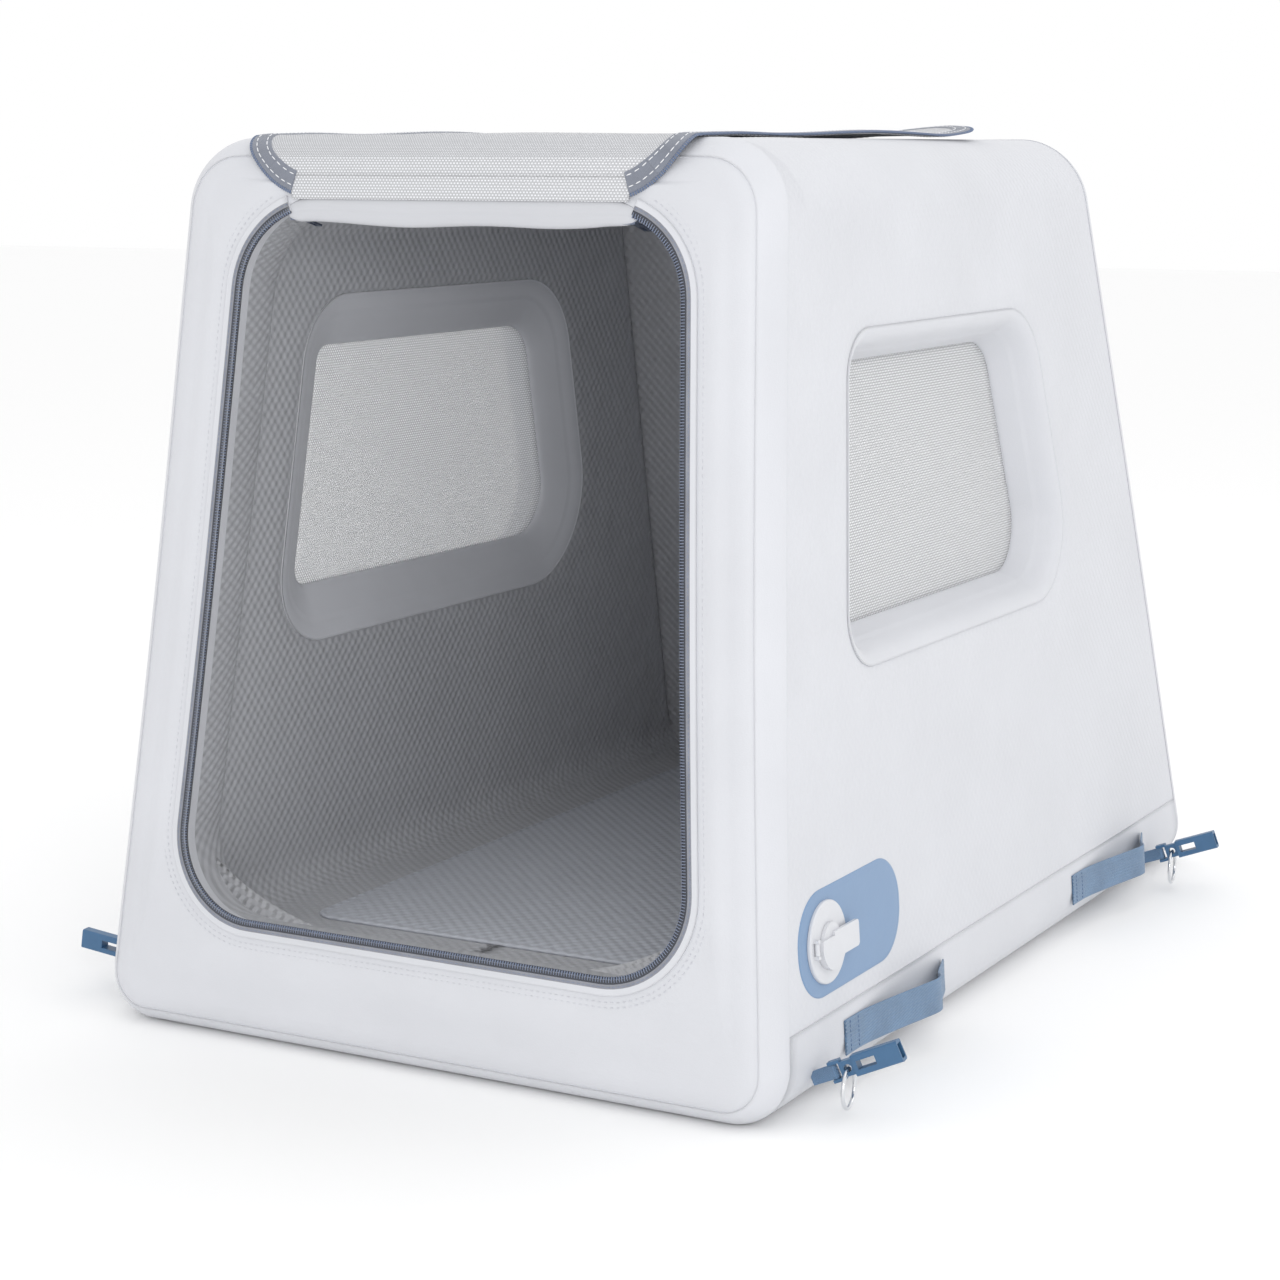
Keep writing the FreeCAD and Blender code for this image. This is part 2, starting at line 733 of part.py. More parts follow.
def slider_parts(side):
    """A zip slider behind the zip's end, with its pull tucked up inside the doorway."""
    centre_x = side * (hinge_half + slider_length / 2)
    corner_radius = zip_top_radius - doorway_inset
    corner_reach = hinge_half + slider_length - (zip_points[2][0] - zip_top_radius)
    corner_drop = corner_radius - math.sqrt(corner_radius ** 2 - corner_reach ** 2)
    frame_v = zip_points[2][1] - doorway_inset - corner_drop
    centre_v = frame_v - soft_clearance - slider_width / 2
    behind = skin - coil_height
    body = box_between(
        (centre_x - slider_length / 2, centre_v - slider_width / 2, behind - slider_thickness),
        (centre_x + slider_length / 2, centre_v + slider_width / 2, behind))
    body = body.makeFillet(slider_corner_radius, [e for e in body.Edges if abs(e.tangentAt(0).z) > 0.9])
    eye = pull_pin_radius + pin_clearance
    knuckle = eye + pull_knuckle_wall
    pivot_z = behind - slider_thickness - knuckle - soft_clearance
    bar_v = centre_v - slider_bar_drop
    inner = pull_width / 2 + soft_clearance
    for direction in (-1, 1):
        low = centre_x + (inner if direction > 0 else -inner - slider_arm_thickness)
        body = body.fuse(box_between(
            (low, bar_v - slider_arm_width / 2, pivot_z - slider_arm_margin),
            (low + slider_arm_thickness, bar_v + slider_arm_width / 2, behind - slider_thickness)))
    rod = Part.makeCylinder(
        pull_pin_radius, 2 * inner, Vector(centre_x - inner, bar_v, pivot_z), Vector(1, 0, 0))
    body = body.fuse(rod).removeSplitter()
    pull = Part.makeCylinder(
        knuckle, pull_width, Vector(centre_x - pull_width / 2, bar_v, pivot_z), Vector(1, 0, 0))
    blade = box_between(
        (centre_x - pull_width / 2, bar_v - pull_length, pivot_z - pull_thickness / 2),
        (centre_x + pull_width / 2, bar_v, pivot_z + pull_thickness / 2))
    pull = pull.fuse(blade)
    hole_low = bar_v - pull_length + pull_hole_margin
    pull = pull.cut(box_between(
        (centre_x - pull_hole_width / 2, hole_low, pivot_z - pull_thickness),
        (centre_x + pull_hole_width / 2, hole_low + pull_hole_length, pivot_z + pull_thickness)))
    pull = pull.cut(Part.makeCylinder(
        eye, pull_width, Vector(centre_x - pull_width / 2, bar_v, pivot_z), Vector(1, 0, 0)))
    plumb = math.degrees(math.atan(front_slope))
    pull.rotate(Vector(centre_x, bar_v, pivot_z), Vector(1, 0, 0), plumb + pull_tuck)
    return place(body, front_plane), place(pull.removeSplitter(), front_plane)


# ----------------------------------------------------------------- build

nodes = {}
body = rounded_body(0)
skinned = rounded_body(skin)
cabin = cabin_space()
front_slice = beyond(front_plane, -frame_depth)
rear_slice = beyond(rear_plane, -wall)
shell = body.cut(cabin)
nodes["front_frame"] = shell.common(front_slice).cut(
    place(slab(doorway_outline(doorway_inset), -2 * frame_depth, 4 * frame_depth), front_plane))
nodes["rear_wall"] = shell.common(rear_slice)
middle_ring = shell.cut(front_slice).cut(rear_slice)
nodes["floor_panel"] = middle_ring.common(below(floor_height))
upper_ring = middle_ring.cut(below(floor_height))
nodes["roof_panel"] = upper_ring.cut(below(height - wall))
walls = upper_ring.common(below(height - wall))
right_half = Part.makeBox(FAR, 2 * FAR, 2 * FAR, Vector(0, -FAR, -FAR))
window_cut = place(window_space(collar_thickness), right_plane)
right_wall = walls.common(right_half).cut(window_cut)
nodes["left_wall"] = mirror(right_wall)
valve_bore = disc(
    valve_tube_radius + valve_bore_clearance, skin - valve_tube_depth, valve_tube_depth)
nodes["right_wall"] = right_wall.cut(place(valve_bore, valve_frame()))

skins = skinned.cut(body)
front_band = beyond(front_plane, -front_band_width)
rear_band = beyond(rear_plane, -rear_band_width)
front_panel = place(slab(end_outline(front_slope, front_stretch, front_seam_inset), -10, 20), front_plane)
rear_panel = place(slab(end_outline(rear_slope, rear_stretch, rear_seam_inset), -10, 20), rear_plane)
nodes["front_edge_band"] = skins.common(front_band).cut(front_panel)
nodes["rear_edge_band"] = skins.common(rear_band).cut(rear_panel)
nodes["base_tray"] = skins.cut(front_band).cut(rear_band).common(below(tray_height))

mat_low = floor_height
mat_half = base_width / 2 - wall - mat_margin - side_slope * mat_low
mat_front = -base_length / 2 + frame_depth + mat_margin
mat_rear = base_length / 2 - wall - mat_margin - rear_slope * mat_low
mat_points = [(-mat_half, mat_front), (mat_half, mat_front), (mat_half, mat_rear), (-mat_half, mat_rear)]
nodes["floor_mat"] = slab(rounded_wire(mat_points, [mat_corner_radius] * 4), mat_low, mat_thickness)

collar = place(window_space(collar_thickness).cut(window_space(0)), right_plane)
window_mesh = place(
    slab(window_outline(window_outer_flare), -window_mesh_depth - window_neck / 2 - mesh_thickness / 2,
         mesh_thickness), right_plane)
nodes["window_collar_right"] = collar
nodes["window_collar_left"] = mirror(collar)
nodes["window_mesh_right"] = window_mesh
nodes["window_mesh_left"] = mirror(window_mesh)

nodes["doorway_zip_tape"] = zip_band(0, tape_width, 0, skin)
nodes["doorway_zip_coil"] = zip_band(tape_width, coil_inner_inset, skin - coil_height, coil_height)
nodes["door_header"] = door_header()
nodes.update(open_door_parts())
for name, side in (("left", -1), ("right", 1)):
    slider, pull = slider_parts(side)
    nodes[f"zip_slider_{name}"] = slider
    nodes[f"zip_pull_{name}"] = pull

for name, shape in valve_parts().items():
    nodes[name] = place(shape, valve_frame())

loop_starts = {
    "front": front_loop_from_front - base_length / 2,
    "rear": base_length / 2 - rear_loop_from_rear}
for end, start_y in loop_starts.items():
    strap = webbing_loop(start_y)
    nodes[f"webbing_{end}_right"] = strap
    nodes[f"webbing_{end}_left"] = mirror(strap)

for name, (side, clip_y, swing, pitch) in clips.items():
    frame = clip_frame(clip_y, swing, pitch)
    pieces = {
        "clip_tab": place(clip_tab(), frame).cut(skinned),
        "clip": place(clip_body(), frame),
        "ring": hanging_ring(frame, swing)}
    for piece, shape in pieces.items():
        nodes[f"{piece}_{name}"] = shape if side > 0 else mirror(shape)

os.makedirs("parts", exist_ok=True)
for name, shape in nodes.items():
    shape.exportStep(f"parts/{name}.step")
    box = shape.BoundBox
    print(f"{name:24s} solids {len(shape.Solids)} valid {shape.isValid()} volume {shape.Volume / 1000:9.2f} cm3"
          f"  x {box.XMin:7.1f}..{box.XMax:6.1f}  y {box.YMin:7.1f}..{box.YMax:6.1f}"
          f"  z {box.ZMin:6.1f}..{box.ZMax:6.1f}")
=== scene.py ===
# %% [markdown]
# # An inflatable dog travel kennel
# The kennel is a tent-shaped box of air chambers. Its walls are two skins of coated
# fabric held 60 mm apart by threads, so they blow up flat, with round edges. A mesh
# door hangs from the doorway's top edge and lies folded back over the roof.
# Every surface below is a formula worked out with numpy and handed to a mesh at once.

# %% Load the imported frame
import math

import bpy
import numpy as np
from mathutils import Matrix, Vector


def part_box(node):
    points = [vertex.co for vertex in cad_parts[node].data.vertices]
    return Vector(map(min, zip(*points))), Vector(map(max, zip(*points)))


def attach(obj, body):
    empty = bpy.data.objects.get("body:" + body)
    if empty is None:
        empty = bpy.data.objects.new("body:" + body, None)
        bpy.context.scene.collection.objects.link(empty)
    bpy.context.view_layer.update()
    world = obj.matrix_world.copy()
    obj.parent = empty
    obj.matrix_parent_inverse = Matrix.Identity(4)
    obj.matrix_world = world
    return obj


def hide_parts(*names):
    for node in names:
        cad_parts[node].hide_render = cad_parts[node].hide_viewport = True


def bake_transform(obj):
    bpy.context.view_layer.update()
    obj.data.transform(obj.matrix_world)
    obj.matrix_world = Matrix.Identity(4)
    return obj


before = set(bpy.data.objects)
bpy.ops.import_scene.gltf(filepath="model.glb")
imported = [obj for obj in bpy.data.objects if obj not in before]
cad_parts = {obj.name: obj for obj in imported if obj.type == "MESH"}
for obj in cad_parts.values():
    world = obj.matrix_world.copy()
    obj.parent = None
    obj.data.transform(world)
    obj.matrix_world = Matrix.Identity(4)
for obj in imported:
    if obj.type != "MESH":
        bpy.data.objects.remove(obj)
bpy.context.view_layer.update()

# %% [markdown]
# ## Camera
# A long lens at the height of the roof, in front and to the right, keeps the sides of
# the kennel nearly parallel. The camera looks back along one direction that is
# given by an azimuth and an elevation, so it needs no target object.

# %% Camera
AZIMUTH, ELEVATION = math.radians(28.8144), math.radians(9.8611)
camera_data = bpy.data.cameras.new("camera")
camera_data.lens = 79.12
camera_data.sensor_width = 36.0
camera = bpy.data.objects.new("camera", camera_data)
camera.location = (1.13517, -2.17911, 0.69038)
towards_camera = Vector((
    math.sin(AZIMUTH) * math.cos(ELEVATION),
    -math.cos(AZIMUTH) * math.cos(ELEVATION),
    math.sin(ELEVATION)))
camera.rotation_mode = "QUATERNION"
camera.rotation_quaternion = (-towards_camera).to_track_quat("-Z", "Y")
bpy.context.scene.collection.objects.link(camera)
bpy.context.scene.camera = camera
print("camera at", tuple(camera.location))

# %% [markdown]
# ## Helpers: from arrays to meshes
# A surface is an array of points, rows by columns. The faces only depend on the size of
# the grid and on which of its edges are joined, so they are worked out as index arrays.
# A closed mesh whose volume comes out negative is inside out, and is turned round.

# %% Arrays to meshes


def unit(v):
    """Vectors divided by their lengths."""
    return v / np.maximum(np.linalg.norm(v, axis=-1, keepdims=True), 1e-12)


def ease(t):
    """A smooth step from 0 to 1: 3t^2 - 2t^3, flat at both ends."""
    t = np.clip(t, 0, 1)
    return t * t * (3 - 2 * t)


def grid_quads(rows, cols, wrap_rows, wrap_cols):
    """Corner numbers of each quad of a rows x cols grid, joined at its ends where asked."""
    r = np.arange(rows if wrap_rows else rows - 1)[:, None]
    c = np.arange(cols if wrap_cols else cols - 1)[None, :]
    r2, c2 = (r + 1) % rows, (c + 1) % cols
    corners = [r * cols + c, r * cols + c2, r2 * cols + c2, r2 * cols + c]
    return np.stack([np.broadcast_to(k, (r.shape[0], c.shape[1])) for k in corners], -1).reshape(-1, 4)


def signed_volume(points, faces):
    """Sum of the tetrahedra from the origin to each face: a.(b x c) / 6."""
    a, b, c = (points[faces[:, k]] for k in range(3))
    return np.einsum("ij,ij->", a, np.cross(b, c)) / 6


def add_mesh(name, points, quads, triangles=(), uv=None, parts=None, materials=(), body="root", slot=None):
    """A smooth mesh object from numbered points. parts gives each quad's material."""
    quads = np.asarray(quads, np.int64).reshape(-1, 4)
    triangles = np.asarray(triangles, np.int64).reshape(-1, 3)
    halves = np.concatenate([quads[:, [0, 1, 2]], quads[:, [0, 2, 3]], triangles])
    if signed_volume(points - points.mean(0), halves) < 0:
        quads, triangles = quads[:, ::-1], triangles[:, ::-1]
    mesh = bpy.data.meshes.new(name)
    loops = np.concatenate([quads.ravel(), triangles.ravel()])
    counts = np.concatenate([np.full(len(quads), 4), np.full(len(triangles), 3)])
    mesh.vertices.add(len(points))
    mesh.vertices.foreach_set("co", points.astype(np.float32).ravel())
    mesh.loops.add(len(loops))
    mesh.loops.foreach_set("vertex_index", loops.astype(np.int32))
    mesh.polygons.add(len(counts))
    starts = np.concatenate([[0], np.cumsum(counts)[:-1]])
    mesh.polygons.foreach_set("loop_start", starts.astype(np.int32))
    mesh.polygons.foreach_set("use_smooth", np.ones(len(counts), bool))
    if uv is not None:
        layer = mesh.uv_layers.new(name="fabric")
        layer.data.foreach_set("uv", uv[loops].astype(np.float32).ravel())
    for material in materials:
        mesh.materials.append(material)
    if parts is not None:
        both = np.concatenate([parts, np.zeros(len(triangles), int)])
        mesh.polygons.foreach_set("material_index", both.astype(np.int32))
    mesh.update(calc_edges=True)
    mesh.validate()
    piece = bpy.data.objects.new(name, mesh)
    bpy.context.scene.collection.objects.link(piece)
    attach(piece, body)
    print(f"{name}: {len(points)} points, {len(counts)} faces")
    return piece


def grid_normals(points, wrap_rows=False, wrap_cols=False):
    """Unit cross products of the central differences along rows and columns."""
    def slope(p, axis, wrap):
        if wrap:
            return np.roll(p, -1, axis) - np.roll(p, 1, axis)
        return np.gradient(p, axis=axis)
    return unit(np.cross(slope(points, 0, wrap_rows), slope(points, 1, wrap_cols)))


def woven_uv(along, across):
    """A grid's cloth directions, in metres: one runs along its columns, the other along its rows."""
    return np.stack(np.broadcast_arrays(along, across), -1)


def ring_surface(name, points, uv=None, wrap_rows=True, **kinds):
    """A closed surface from rows of loops: a doughnut, or a tube whose ends run to one point."""
    rows, cols = points.shape[:2]
    flat = points.reshape(-1, 3)
    flat_uv = None if uv is None else uv.reshape(-1, 2)
    quads = grid_quads(rows, cols, wrap_rows, True)
    triangles = np.zeros((0, 3), int)
    if not wrap_rows:
        first, last = rows * cols, rows * cols + 1
        k = np.arange(cols)
        k2 = (k + 1) % cols
        fan_a = np.stack([np.full(cols, first), k2, k], -1)
        fan_b = np.stack([np.full(cols, last), k + (rows - 1) * cols, k2 + (rows - 1) * cols], -1)
        triangles = np.concatenate([fan_a, fan_b])
        flat = np.concatenate([flat, points[0].mean(0)[None], points[-1].mean(0)[None]])
        if uv is not None:
            flat_uv = np.concatenate([flat_uv, uv[0].mean(0)[None], uv[-1].mean(0)[None]])
    return add_mesh(name, flat, quads, triangles, flat_uv, **kinds)


def skin_surface(name, points, normals, low, high, uv=None,
                 wrap_rows=False, wrap_cols=False, parts=None, **kinds):
    """A closed thin skin: the grid lifted by low and high along its normals, joined round its edges."""
    rows, cols = points.shape[:2]
    count = rows * cols
    low, high = (np.broadcast_to(np.asarray(v, float), (rows, cols))[..., None] for v in (low, high))
    flat = np.concatenate([(points + normals * high).reshape(-1, 3), (points + normals * low).reshape(-1, 3)])
    top = grid_quads(rows, cols, wrap_rows, wrap_cols)
    quads = [top, top[:, ::-1] + count]
    number = np.arange(count).reshape(rows, cols)
    rims = []
    if not wrap_rows:
        rims += [(number[0], -1, wrap_cols), (number[-1], 1, wrap_cols)]
    if not wrap_cols:
        rims += [(number[:, 0], 1, wrap_rows), (number[:, -1], -1, wrap_rows)]
    for rim, turn, wrapped in rims:
        rim = np.append(rim, rim[0]) if wrapped else rim
        strip = np.stack([rim[:-1], rim[1:], rim[1:] + count, rim[:-1] + count], -1)
        quads.append(strip if turn < 0 else strip[:, ::-1])
    quads = np.concatenate(quads)
    if uv is not None:
        uv = np.concatenate([uv.reshape(-1, 2)] * 2)
    if parts is not None:
        full = np.zeros(len(quads), int)
        full[:len(top)] = parts
        full[len(top):2 * len(top)] = parts
        parts = full
    return add_mesh(name, flat, quads, (), uv, parts, **kinds)


# %% [markdown]
# ## Helpers: outlines
# The faces of the kennel, its doorway and its windows are all four-sided outlines with
# round corners. One routine makes them, always with the same number of points on each
# arc and each side, so any two outlines can be blended point for point into a surface.

# %% Rounded outlines
SIDE_STEPS, ARC_STEPS = 56, 18


def rounded_loop(corners, radii, side_steps=SIDE_STEPS, arc_steps=ARC_STEPS):
    """Points and outward normals: an arc about each corner's centre, then the straight side to the next."""
    corners = np.asarray(corners, float)
    back = unit(np.roll(corners, 1, 0) - corners)
    ahead = unit(np.roll(corners, -1, 0) - corners)
    half = np.arccos(np.clip((back * ahead).sum(1), -1, 1)) / 2
    radii = np.asarray(radii, float)
    centres = corners + unit(back + ahead) * (radii / np.sin(half))[:, None]
    touch = back * (radii / np.tan(half))[:, None] + corners - centres
    first = np.arctan2(touch[:, 1], touch[:, 0])
    sweep = np.pi - 2 * half
    turn = first[:, None] + sweep[:, None] * np.linspace(0, 1, arc_steps + 1)
    normal = np.stack([np.cos(turn), np.sin(turn)], -1)
    arc = centres[:, None] + radii[:, None, None] * normal
    share = np.linspace(0, 1, side_steps + 1)[1:-1, None]
    after = np.roll(arc[:, 0], -1, 0)
    side = arc[:, -1][:, None] * (1 - share) + after[:, None] * share
    side_normal = np.broadcast_to(normal[:, -1][:, None], side.shape)
    return (np.concatenate([arc, side], 1).reshape(-1, 2),
            np.concatenate([normal, side_normal], 1).reshape(-1, 2))


def running_length(points, closed=False):
    """Distance along a line of points, from the first."""
    step = np.diff(points, axis=0, append=points[:1]) if closed else np.diff(points, axis=0)
    return np.concatenate([[0], np.cumsum(np.linalg.norm(step, axis=-1))])


def length_both_ways(loop):
    """Distance along a closed loop, counted both ways from its start, so that it meets itself."""
    along = running_length(loop, closed=True)
    return along[-1] / 2 - np.abs(along[:len(loop)] - along[-1] / 2)


def soften(points, rounds=3):
    """Cut every corner of an open line a quarter of the way along its sides, several times."""
    points = np.asarray(points, float)
    for _ in range(rounds):
        a, b = points[:-1], points[1:]
        cut = np.stack([a * 0.75 + b * 0.25, a * 0.25 + b * 0.75], 1).reshape(-1, points.shape[1])
        points = np.concatenate([points[:1], cut[1:-1], points[-1:]])
    return points


def respace(points, count):
    """The same line with its points at even distances."""
    s = running_length(points)
    t = np.linspace(0, s[-1], count)
    return np.stack([np.interp(t, s, points[:, k]) for k in range(points.shape[1])], -1)


# %% [markdown]
# ## The shape of the body
# Seen from the front the body is a tapering outline with round corners. Both ends lean
# in, so a slice at any distance behind the front slope is the same outline, sheared.
# Near an end the outline draws in along a quarter circle, which rounds that edge.

# %% Body sizes and surfaces
HEIGHT, BASE_WIDTH, ROOF_WIDTH, BASE_LENGTH = 0.700, 0.610, 0.513, 0.950
FRONT_LEAN, REAR_LEAN = 0.083, 0.221
WALL, FLOOR_TOP, SKIN = 0.060, 0.072, 0.0008
FRONT_EDGE, REAR_EDGE = 0.030, 0.038
FRONT_BAND, REAR_BAND, SEAM_INSET, TRAY_TOP = 0.026, 0.034, 0.014, 0.068
SIDE_SLOPE = (BASE_WIDTH - ROOF_WIDTH) / 2 / HEIGHT
FRONT_SLOPE, REAR_SLOPE = FRONT_LEAN / HEIGHT, REAR_LEAN / HEIGHT
SIDE_STRETCH = math.hypot(1, SIDE_SLOPE)
FRONT_STRETCH = math.hypot(1, FRONT_SLOPE)
REAR_STRETCH = math.hypot(1, REAR_SLOPE)
BODY_CORNERS = [
    (-BASE_WIDTH / 2, SKIN), (BASE_WIDTH / 2, SKIN), (ROOF_WIDTH / 2, HEIGHT), (-ROOF_WIDTH / 2, HEIGHT)]
BODY_RADII = [0.042, 0.042, 0.055, 0.055]
CABIN_TOP = HEIGHT - WALL
WAIST_REACH, WAIST_DRAW, REAR_BOW = 0.05, 0.0110, 0.0045
# how far a chamber's cloth runs on under the band or tray that covers its edge
BAND_LAP, TRAY_LAP = 0.004, 0.006


def half_width(z):
    return BASE_WIDTH / 2 - SIDE_SLOPE * z


def front_y(z):
    return -BASE_LENGTH / 2 + FRONT_SLOPE * z


def rear_y(z):
    return BASE_LENGTH / 2 - REAR_SLOPE * z


inner_half = [half_width(z) - WALL * SIDE_STRETCH for z in (FLOOR_TOP, CABIN_TOP)]
CABIN_CORNERS = [
    (-inner_half[0], FLOOR_TOP), (inner_half[0], FLOOR_TOP),
    (inner_half[1], CABIN_TOP), (-inner_half[1], CABIN_TOP)]
CABIN_RADII = [0.025] * 4


class Section:
    """A closed outline, read by the distance along it from the middle of its lowest side."""

    def __init__(self, corners, radii):
        side_steps, arc_steps = 400, 120
        points, normals = rounded_loop(corners, radii, side_steps, arc_steps)
        start = arc_steps + side_steps // 2
        points, normals = np.roll(points, -start, 0), np.roll(normals, -start, 0)
        self.length = running_length(points, closed=True)
        self.table = np.concatenate([points, normals], 1)
        self.table = np.concatenate([self.table, self.table[:1]])
        self.total = self.length[-1]
        rising = slice(0, len(points) // 2)
        self.z_right, self.s_right = self.table[rising, 1], self.length[rising]

    def at(self, s):
        """x, z and the outward normal at a distance; negative distances run the other way round."""
        s = np.mod(s, self.total)
        return [np.interp(s, self.length, self.table[:, k]) for k in range(4)]

    def up_to(self, z):
        """The distance at which the right-hand side reaches a height."""
        return np.interp(z, self.z_right, self.s_right)


outer_section = Section(BODY_CORNERS, BODY_RADII)
cabin_section = Section(CABIN_CORNERS, CABIN_RADII)


def edge_draw(depth, radius):
    """How far the outline draws in at a depth behind an end whose edge has this radius."""
    near = np.clip(radius - depth, 0, radius)
    return radius - np.sqrt(radius ** 2 - near ** 2)


def breathe(p):
    """The small swellings of a blown-up body: the rear face bows out and the front edges pull in."""
    x, y, z = p[..., 0], p[..., 1], p[..., 2]
    middle = (4 * z / HEIGHT * (1 - z / HEIGHT)).clip(0, 1) ** 2
    share = (y - front_y(z)) / (rear_y(z) - front_y(z))
    waist = np.exp(-(share / WAIST_REACH) ** 2)
    out = p.copy()
    out[..., 0] = x * (1 - WAIST_DRAW * middle * waist)
    out[..., 1] = y + REAR_BOW * middle * np.clip(share, 0, 1) ** 10
    return out


def body_point(share, s, lift=0.0, front=FRONT_BAND, rear=REAR_BAND):
    """A point of the outer skin: share runs from the front band to the rear one, s round the outline."""
    x, z, nx, nz = outer_section.at(s)
    y = (1 - share) * (front_y(z) + front * FRONT_STRETCH) + share * (rear_y(z) - rear * REAR_STRETCH)
    draw = edge_draw((y - front_y(z)) / FRONT_STRETCH, FRONT_EDGE)
    draw = draw + edge_draw((rear_y(z) - y) / REAR_STRETCH, REAR_EDGE)
    return breathe(np.stack([x + nx * (lift - draw), y, z + nz * (lift - draw)], -1))


def cabin_point(share, s, lift=0.0):
    """A point of the cabin's inner skin, from the front frame to the rear wall."""
    x, z, nx, nz = cabin_section.at(s)
    y = (1 - share) * (front_y(z) + WALL * FRONT_STRETCH) + share * (rear_y(z) - WALL * REAR_STRETCH)
    return np.stack([x - nx * lift, y, z - nz * lift], -1)


def side_point(y, v, depth):
    """A point on the right wall: y along it, v up its slope, and a depth into it."""
    return np.stack([BASE_WIDTH / 2 - (SIDE_SLOPE * v + depth) / SIDE_STRETCH, y + 0 * v,
                     (v - SIDE_SLOPE * depth) / SIDE_STRETCH], -1)


def slope_point(x, v, out):
    """A point on the front slope: x across, v up it, and a distance out of it."""
    return np.stack([x + 0 * v, -BASE_LENGTH / 2 + (FRONT_SLOPE * v - out) / FRONT_STRETCH,
                     (v + FRONT_SLOPE * out) / FRONT_STRETCH + 0 * x], -1)


print("outline round the body", round(outer_section.total, 3), "m")

# %% [markdown]
# ## Materials
# Coated fabric is a matt, slightly sheeny skin over a weave, so each fabric is one
# Principled shader with a bump built from waves and noise. The waves read the piece's
# own UV map, which is in metres along the cloth, so the weave follows every bend.

# %% Shader helpers


class Shader:
    """One material with a Principled shader, and short ways to add nodes to it."""

    def __init__(self, name, rough, sheen=0.0, metallic=0.0, coat=0.0, specular=0.5):
        self.material = bpy.data.materials.new(name)
        self.material.use_nodes = True
        self.tree = self.material.node_tree
        self.shader = self.tree.nodes["Principled BSDF"]
        settings = {"Roughness": rough, "Sheen Weight": sheen, "Metallic": metallic,
                    "Coat Weight": coat, "Specular IOR Level": specular}
        for socket, value in settings.items():
            self.shader.inputs[socket].default_value = value

    def node(self, kind, inputs=(), **settings):
        made = self.tree.nodes.new(kind)
        for key, value in settings.items():
            setattr(made, key, value)
        for key, value in dict(inputs).items():
            if isinstance(value, bpy.types.NodeSocket):
                self.tree.links.new(value, made.inputs[key])
            else:
                made.inputs[key].default_value = value
        return made

    def math(self, operation, a, b=0.0):
        return self.node("ShaderNodeMath", {0: a, 1: b}, operation=operation).outputs[0]

    def scaled(self, value, factor, added):
        """value * factor + added."""
        return self.node("ShaderNodeMath", {0: value, 1: factor, 2: added}, operation="MULTIPLY_ADD").outputs[0]

    def along(self, source="UV"):
        """The cloth's two directions, in metres."""
        where = self.node("ShaderNodeTexCoord").outputs[source]
        parts = self.node("ShaderNodeSeparateXYZ", {0: where})
        return where, parts.outputs[0], parts.outputs[1], parts.outputs[2]

    def wave(self, position, pitch, shift=0.0):
        """A cosine with this pitch, from -1 to 1."""
        return self.math("COSINE", self.scaled(position, 2 * math.pi / pitch, shift))

    def noise(self, where, scale, detail=2.0, roughness=0.5):
        inputs = {"Vector": where, "Scale": scale, "Detail": detail, "Roughness": roughness}
        return self.node("ShaderNodeTexNoise", inputs).outputs["Fac"]

    def bump(self, height, distance, strength=1.0, under=None):
        inputs = {"Height": height, "Distance": distance, "Strength": strength}
        made = self.node("ShaderNodeBump", inputs)
        if under is not None:
            self.tree.links.new(under, made.inputs["Normal"])
        return made.outputs[0]

    def colours(self, factor, stops):
        """Blend along a ramp of colours at given positions."""
        ramp = self.node("ShaderNodeValToRGB", {0: factor})
        while len(ramp.color_ramp.elements) < len(stops):
            ramp.color_ramp.elements.new(0.5)
        for element, (position, colour) in zip(ramp.color_ramp.elements, stops):
            element.position = position
            element.color = (*colour, 1)
        return ramp.outputs[0]

    def finish(self, colour=None, normal=None, alpha=None, rough=None):
        """Join what was made to the shader; a plain colour goes on its own socket."""
        given = {"Base Color": colour, "Normal": normal, "Alpha": alpha, "Roughness": rough}
        for socket, value in given.items():
            if isinstance(value, bpy.types.NodeSocket):
                self.tree.links.new(value, self.shader.inputs[socket])
            elif value is not None:
                self.shader.inputs[socket].default_value = (*value, 1) if socket == "Base Color" else value
        return self.material


def shade(colour, factor):
    return tuple(min(c * factor, 1) for c in colour)


# %% Coated fabrics
SHELL_WHITE = (0.63, 0.64, 0.675)


def coated_fabric(name, colour, quilt=0.0, pitch=(0.0085, 0.0115), grain=0.00012, rough=0.55, tone=0.05):
    """A coated cloth: fine grain, faint large unevenness, and quilted dimples where quilt is their height."""
    made = Shader(name, rough, sheen=0.15)
    where, u, v, _ = made.along()
    cloudy = made.noise(where, 9.0, 3.0)
    fine = made.noise(where, 900.0, 2.0, 0.6)
    mixed = made.scaled(fine, 0.35, cloudy)
    tint = made.colours(mixed, [(0.35, shade(colour, 1 - tone)), (0.95, shade(colour, 1 + tone / 2))])
    normal = made.bump(fine, grain)
    normal = made.bump(made.noise(where, 60.0, 3.0), 0.0009, 0.35, normal)
    if quilt:
        dimple = made.math("MULTIPLY", made.wave(u, pitch[0]), made.wave(v, pitch[1]))
        raised = made.scaled(dimple, 0.5, 0.5)
        normal = made.bump(raised, quilt, 1.0, normal)
    rough_map = made.scaled(cloudy, 0.16, rough - 0.08)
    return made.finish(tint, normal, rough=rough_map)


